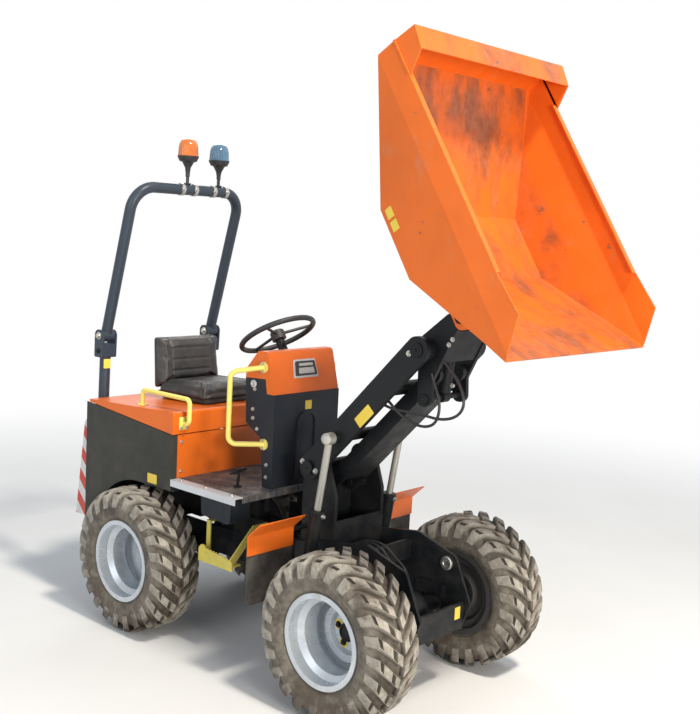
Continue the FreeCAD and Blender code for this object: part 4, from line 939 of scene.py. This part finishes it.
def ram_parts(name, swing, slide, length, y, radius, bodies):
    """Gland at a barrel's mouth, a wiper and a port; y lists the rams' middle planes."""
    base = joint_place(swing)
    way = Vector(joints[slide]["axis"])
    barrel, head = bodies
    mouths = []
    ports = []
    for at_y in y:
        start = Vector((base.x, at_y, base.z))
        mouths.append((start + way * (length - 0.030), way))
        for share in (0.18, 0.93):
            ports.append((start + way * (length * share) + Vector((radius - 0.003, 0, 0)), (1, 0, 0)))
    rings(name + "_glands", mouths, barrel, "black",
          [(0, radius), (0.002, radius + 0.004), (0.026, radius + 0.004), (0.030, radius + 0.001),
           (0.032, radius * 0.62)])
    rings(name + "_ports", ports, barrel, "zinc",
          [(0, 0), (0, 0.0115), (0.012, 0.0115), (0.012, 0.0085), (0.021, 0.0085), (0.021, 0)], 6)


def make_linkage_details():
    outward = Vector((0, -1, 0))
    ram_parts("lift_ram", "lift_ram_swing", "lift_ram_slide", 0.364, (-0.265, 0.265), 0.033,
              ("lift_ram_barrels", "lift_ram_rods"))
    ram_parts("tip_ram", "tip_ram_swing", "tip_ram_slide", 0.312, (0.0,), 0.030,
              ("tip_ram_barrel", "tip_ram_rod"))
    head = on_arm(0.242, 0, -0.2852)
    dome = [(0, 0), (0, 0.0275), (0.006, 0.0270), (0.012, 0.0235), (0.017, 0.016), (0.019, 0.007),
            (0.0195, 0)]
    rings("ram_caps", mirrored_spots([(head, outward)]), "lift_ram_rods", "white", dome)
    foot = on_arm(0, 0, -0.2282)
    caps("arm_foot_caps", mirrored_spots([(foot, outward)]), "front_frame", "arm", 0.034)
    upper = on_arm(0.885, 0, -ARM_OUT)
    caps("arm_head_caps", mirrored_spots([(upper, outward)]), "arms", "black", 0.034)
    keepers = [(on_arm(0.026, -0.040, -ARM_OUT), outward), (on_arm(0.842, 0.016, -ARM_OUT), outward),
               (on_arm(-0.012, 0.046, -ARM_OUT), outward)]
    bolts("arm_keeper_bolts", mirrored_spots(keepers), "arms", "zinc", 0.016)
    tilt = Vector((-ARM_WAY.z, 0, ARM_WAY.x))
    blank_plates("arm_plate", [(on_arm(0.449, -0.031, -ARM_OUT), (0, -1, 0), tilt, 0.113, 0.053)], "arms")
    cheek = -0.1402
    spots = [(at(0.967, cheek, 1.675), outward), (at(0.985, cheek, 1.700), outward)]
    bolts("carrier_bolts", mirrored_spots(spots), "carrier_head", "zinc", 0.013)
    hinge = joint_place("tip")
    caps("skip_hinge_caps", mirrored_spots([(Vector((hinge.x, -0.1712, hinge.z)), outward)]),
         "carrier_head", "black", 0.026)
    base = joint_place("tip_ram_swing")
    caps("tip_base_caps", mirrored_spots([(Vector((base.x, cheek - 0.0002, base.z)), outward)]),
         "carrier_head", "black", 0.022)


def make_front_frame_details():
    """Pin caps, the far boss, a blank plate on the front, the valve block on the axle with its fittings, and the
    saddle and flap bolts.
    """
    outward = Vector((0, -1, 0))
    base = joint_place("lift_ram_swing")
    caps("ram_base_caps", mirrored_spots([(Vector((base.x, -0.2912, base.z)), outward)]), "front_frame",
         "black", 0.021)
    rings("far_boss", [(at(0.800, 0.1799, 0.593), (0, -1, 0))], "front_frame", "zinc",
          [(0, 0), (0, 0.034), (0.010, 0.034), (0.014, 0.029), (0.014, 0.016), (0.011, 0.014), (0.011, 0)])
    blank_plates("front_plate", [(at(0.9083, 0.135, 0.385), (1, 0, 0), (0, 0, 1), 0.042, 0.060)],
                 "front_frame")
    bm = bmesh.new()
    slab(bm, at(0.664, -0.105, 0.462), at(0.754, -0.015, 0.508), 0.004)
    piece("axle_block", from_bmesh("axle_block", bm), "black", "front_frame")
    spots = [(at(0.672 + i * 0.026, -0.080 + i * 0.022, 0.5075), Vector((-0.45, 0, 1))) for i in range(3)]
    rings("axle_fittings", spots, "front_frame", "zinc",
          [(0, 0), (0, 0.0125), (0.012, 0.0125), (0.012, 0.0085), (0.032, 0.0085), (0.032, 0)], 6)
    for side, word in ((-1, "right"), (1, "left")):
        spots = [(at(x, side * 0.1956, z), Vector((0, side, 0))) for x, z in
                 ((0.655, 0.498), (0.780, 0.498), (0.655, 0.455), (0.780, 0.455))]
        bolts("saddle_bolts_" + word, spots, "front_frame", "black", 0.020)
    spots = [(at(0.2356 - 0.008, -y, z), Vector((-1, 0, 0))) for y in (0.34, 0.56) for z in (0.665, 0.690)]
    bolts("flap_bolts", mirrored_spots(spots), "front_frame", "zinc", 0.012)


def make_skip_details():
    """Blank plates low on the right side, and a lip below the spill board's ends."""
    out = SKIP_TURN @ Vector((0, -1, -0.178))
    up = SKIP_TURN @ Vector((1, 0, 0))
    low = -0.372
    y = -(0.551 + (low + 0.1) * 0.1783) - 0.0006
    spots = [(on_skip(u, y, low), out, up, 0.042, 0.046) for u in (0.560, 0.618)]
    blank_plates("skip_plates", spots, "skip_body")
    bm = bmesh.new()
    for side in (-1, 1):
        near = [on_skip(u, side * y, w) for w in (-0.005, 0.005) for u, y in ((0.0, 0.545), (0.0, 0.557),
                (0.160, 0.557), (0.160, 0.545))]
        v = [bm.verts.new(p) for p in near]
        for corners in ((0, 1, 2, 3), (7, 6, 5, 4), (0, 4, 5, 1), (1, 5, 6, 2), (2, 6, 7, 3), (3, 7, 4, 0)):
            bm.faces.new([v[i] for i in corners])
    bmesh.ops.recalc_face_normals(bm, faces=bm.faces)
    piece("skip_lips", from_bmesh("skip_lips", bm), "skip", "skip_body")


# Hoses

def spline_route(points):
    """Points along the smooth line that a hose takes through its route."""
    curve = nurbs("route", points, 0.0)
    obj = bpy.data.objects.new("route", curve)
    bpy.context.scene.collection.objects.link(obj)
    graph = bpy.context.evaluated_depsgraph_get()
    mesh = bpy.data.meshes.new_from_object(obj.evaluated_get(graph))
    found = [v.co.copy() for v in mesh.vertices]
    bpy.data.objects.remove(obj)
    return found


def nurbs(name, points, radius):
    curve = bpy.data.curves.new(name, "CURVE")
    curve.dimensions = "3D"
    curve.resolution_u = 10
    curve.bevel_depth = radius
    curve.bevel_resolution = 4
    curve.use_fill_caps = True
    spline = curve.splines.new("NURBS")
    spline.points.add(len(points) - 1)
    for point, place in zip(spline.points, points):
        point.co = (*place, 1.0)
    spline.order_u = 3
    spline.use_endpoint_u = True
    return curve


def hose(name, points, diameter, body, onto=None):
    """A hose along its route; it rides on one body, or is left unattached where onto is given."""
    line = spline_route(points)
    obj = bpy.data.objects.new(name, nurbs(name, points, diameter / 2))
    bpy.context.scene.collection.objects.link(obj)
    graph = bpy.context.evaluated_depsgraph_get()
    mesh = bpy.data.meshes.new_from_object(obj.evaluated_get(graph))
    bpy.data.objects.remove(obj)
    mesh.shade_smooth()
    obj = loose(name, mesh, "hose")
    if onto is None:
        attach(obj, body)
    else:
        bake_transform(obj)


def make_hoses():
    long_loop = [(0.620, -0.1762, 1.378), (0.690, -0.174, 1.354), (0.780, -0.168, 1.356),
                 (0.870, -0.166, 1.354),
                 (0.965, -0.165, 1.346), (1.052, -0.165, 1.372), (1.088, -0.162, 1.430), (1.052, -0.154,
                                                                                          1.510),
                 (0.985, -0.1465, 1.575), (0.950, -0.1465, 1.600)]
    short_loop = [(0.650, -0.1762, 1.412), (0.715, -0.172, 1.352), (0.795, -0.164, 1.312),
                  (0.865, -0.162, 1.298),
                  (0.930, -0.162, 1.318), (0.952, -0.160, 1.372), (0.944, -0.154, 1.432), (0.905, -0.1465,
                                                                                           1.500),
                  (0.888, -0.1465, 1.540)]
    for name, route in (("head_hose_long", long_loop), ("head_hose_short", short_loop)):
        hose(name, [at(*p) for p in route], 0.013, "arms", "carrier_head")
    loop = [(0.660, -0.417), (0.610, -0.470), (0.600, -0.545), (0.655, -0.592), (0.735, -0.590),
            (0.790, -0.520),
            (0.800, -0.420)]
    hose("skip_hose", [on_skip(u, -0.185, w) for u, w in loop], 0.010, "skip_body")
    for i, y in enumerate((-0.072, -0.050, -0.028)):
        route = [(0.386, 0.630), (0.420, 0.646), (0.470, 0.664), (0.530, 0.668), (0.585, 0.652),
                 (0.622, 0.618),
                 (0.645 + i * 0.022, 0.580), (0.656 + i * 0.026, 0.538)]
        hose("axle_hose_%d" % (i + 1), [at(x, y + 0.004 * k * (i - 1), z) for k, (x, z) in enumerate(route)], 0.012,
             "front_frame")


# Scene, lights and camera

def make_stage():
    """Pale floor that fades to the white background with distance."""
    mesh = bpy.data.meshes.new("floor")
    s = 60.0
    mesh.from_pydata([(-s, -s, 0), (s, -s, 0), (s, s, 0), (-s, s, 0)], [], [(0, 1, 2, 3)])
    floor = bpy.data.objects.new("floor", mesh)
    bpy.context.scene.collection.objects.link(floor)
    n = Nodes("pale_floor")
    n.colour(n.mix(n.span(n.noise(0.8), 0.3, 0.7), (0.76, 0.76, 0.75), (0.72, 0.72, 0.71)))
    n.shader.inputs["Roughness"].default_value = 0.9
    reach = n.add("ShaderNodeVectorMath", operation="LENGTH")
    n.link(n.geometry, "Position", reach, 0)
    far = n.span((reach, "Value"), 2.6, 7.5)
    path = n.add("ShaderNodeLightPath")
    seen = n.maths("MAXIMUM", (path, "Is Camera Ray"), (path, "Is Glossy Ray"))
    seen = n.maths("MAXIMUM", seen, (path, "Is Transmission Ray"))
    white = n.add("ShaderNodeEmission")
    blend = n.add("ShaderNodeMixShader")
    fade = n.maths("MULTIPLY", far, seen)
    n.tree.links.new(fade[0].outputs[fade[1]], blend.inputs[0])
    n.tree.links.new(n.shader.outputs[0], blend.inputs[1])
    n.tree.links.new(white.outputs[0], blend.inputs[2])
    n.tree.links.new(blend.outputs[0], n.out.inputs["Surface"])
    mesh.materials.append(n.material)


def make_world():
    world = bpy.data.worlds.new("studio")
    bpy.context.scene.world = world
    world.use_nodes = True
    tree = world.node_tree
    tree.nodes.clear()
    out = tree.nodes.new("ShaderNodeOutputWorld")
    blend = tree.nodes.new("ShaderNodeMixShader")
    soft = tree.nodes.new("ShaderNodeBackground")
    white = tree.nodes.new("ShaderNodeBackground")
    path = tree.nodes.new("ShaderNodeLightPath")
    seen = tree.nodes.new("ShaderNodeMath")
    seen.operation = "MAXIMUM"
    more = tree.nodes.new("ShaderNodeMath")
    more.operation = "MAXIMUM"
    soft.inputs["Color"].default_value = (0.80, 0.88, 1.0, 1.0)
    soft.inputs["Strength"].default_value = 0.42
    white.inputs["Color"].default_value = (1, 1, 1, 1)
    tree.links.new(path.outputs["Is Camera Ray"], seen.inputs[0])
    tree.links.new(path.outputs["Is Glossy Ray"], seen.inputs[1])
    tree.links.new(seen.outputs[0], more.inputs[0])
    tree.links.new(path.outputs["Is Transmission Ray"], more.inputs[1])
    tree.links.new(more.outputs[0], blend.inputs[0])
    tree.links.new(soft.outputs[0], blend.inputs[1])
    tree.links.new(white.outputs[0], blend.inputs[2])
    tree.links.new(blend.outputs[0], out.inputs["Surface"])


def area_light(name, place, target, size, watts, colour=(1, 1, 1)):
    data = bpy.data.lights.new(name, "AREA")
    data.shape = "DISK"
    data.size = size
    data.energy = watts
    data.color = colour
    lamp = bpy.data.objects.new(name, data)
    lamp.location = place
    lamp.rotation_euler = (Vector(place) - Vector(target)).to_track_quat("Z", "Y").to_euler()
    bpy.context.scene.collection.objects.link(lamp)


def make_lights():
    middle = (0, 0, 1.2)
    area_light("key", (4.6, -0.75, 8.4), middle, 1.1, 760, (1.0, 0.94, 0.84))
    area_light("front", (6.8, -2.4, 2.1), middle, 2.0, 330, (1.0, 0.94, 0.84))
    area_light("fill", (0.5, -7.5, 3.5), middle, 5.0, 150, (0.92, 0.96, 1.0))
    area_light("back", (-5.0, 3.5, 5.0), middle, 3.0, 90, (1.0, 1.0, 1.0))


def make_camera():
    forward = Vector((math.cos(CAMERA_TILT) * math.cos(CAMERA_AZIMUTH),
                      math.cos(CAMERA_TILT) * math.sin(CAMERA_AZIMUTH), math.sin(CAMERA_TILT)))
    right = forward.cross(Vector((0, 0, 1))).normalized()
    up = right.cross(forward)
    c = math.cos(CAMERA_ROLL)
    s = math.sin(CAMERA_ROLL)
    right, up = right * c + up * s, up * c - right * s
    data = bpy.data.cameras.new("photo")
    data.sensor_width = 36.0
    data.lens = LENS
    camera = bpy.data.objects.new("photo", data)
    turn = Matrix((right, up, -forward)).transposed()
    camera.matrix_world = Matrix.Translation(CAMERA_PLACE) @ turn.to_4x4()
    bpy.context.scene.collection.objects.link(camera)
    bpy.context.scene.camera = camera


dress_nodes()
make_tyres()
make_wheel_details()
make_seat()
make_beacons()
make_console_details()
make_body_details()
make_roll_bar_details()
make_linkage_details()
make_front_frame_details()
make_skip_details()
make_hoses()
make_stage()
make_world()
make_lights()
make_camera()
bpy.context.scene.view_settings.view_transform = "Standard"
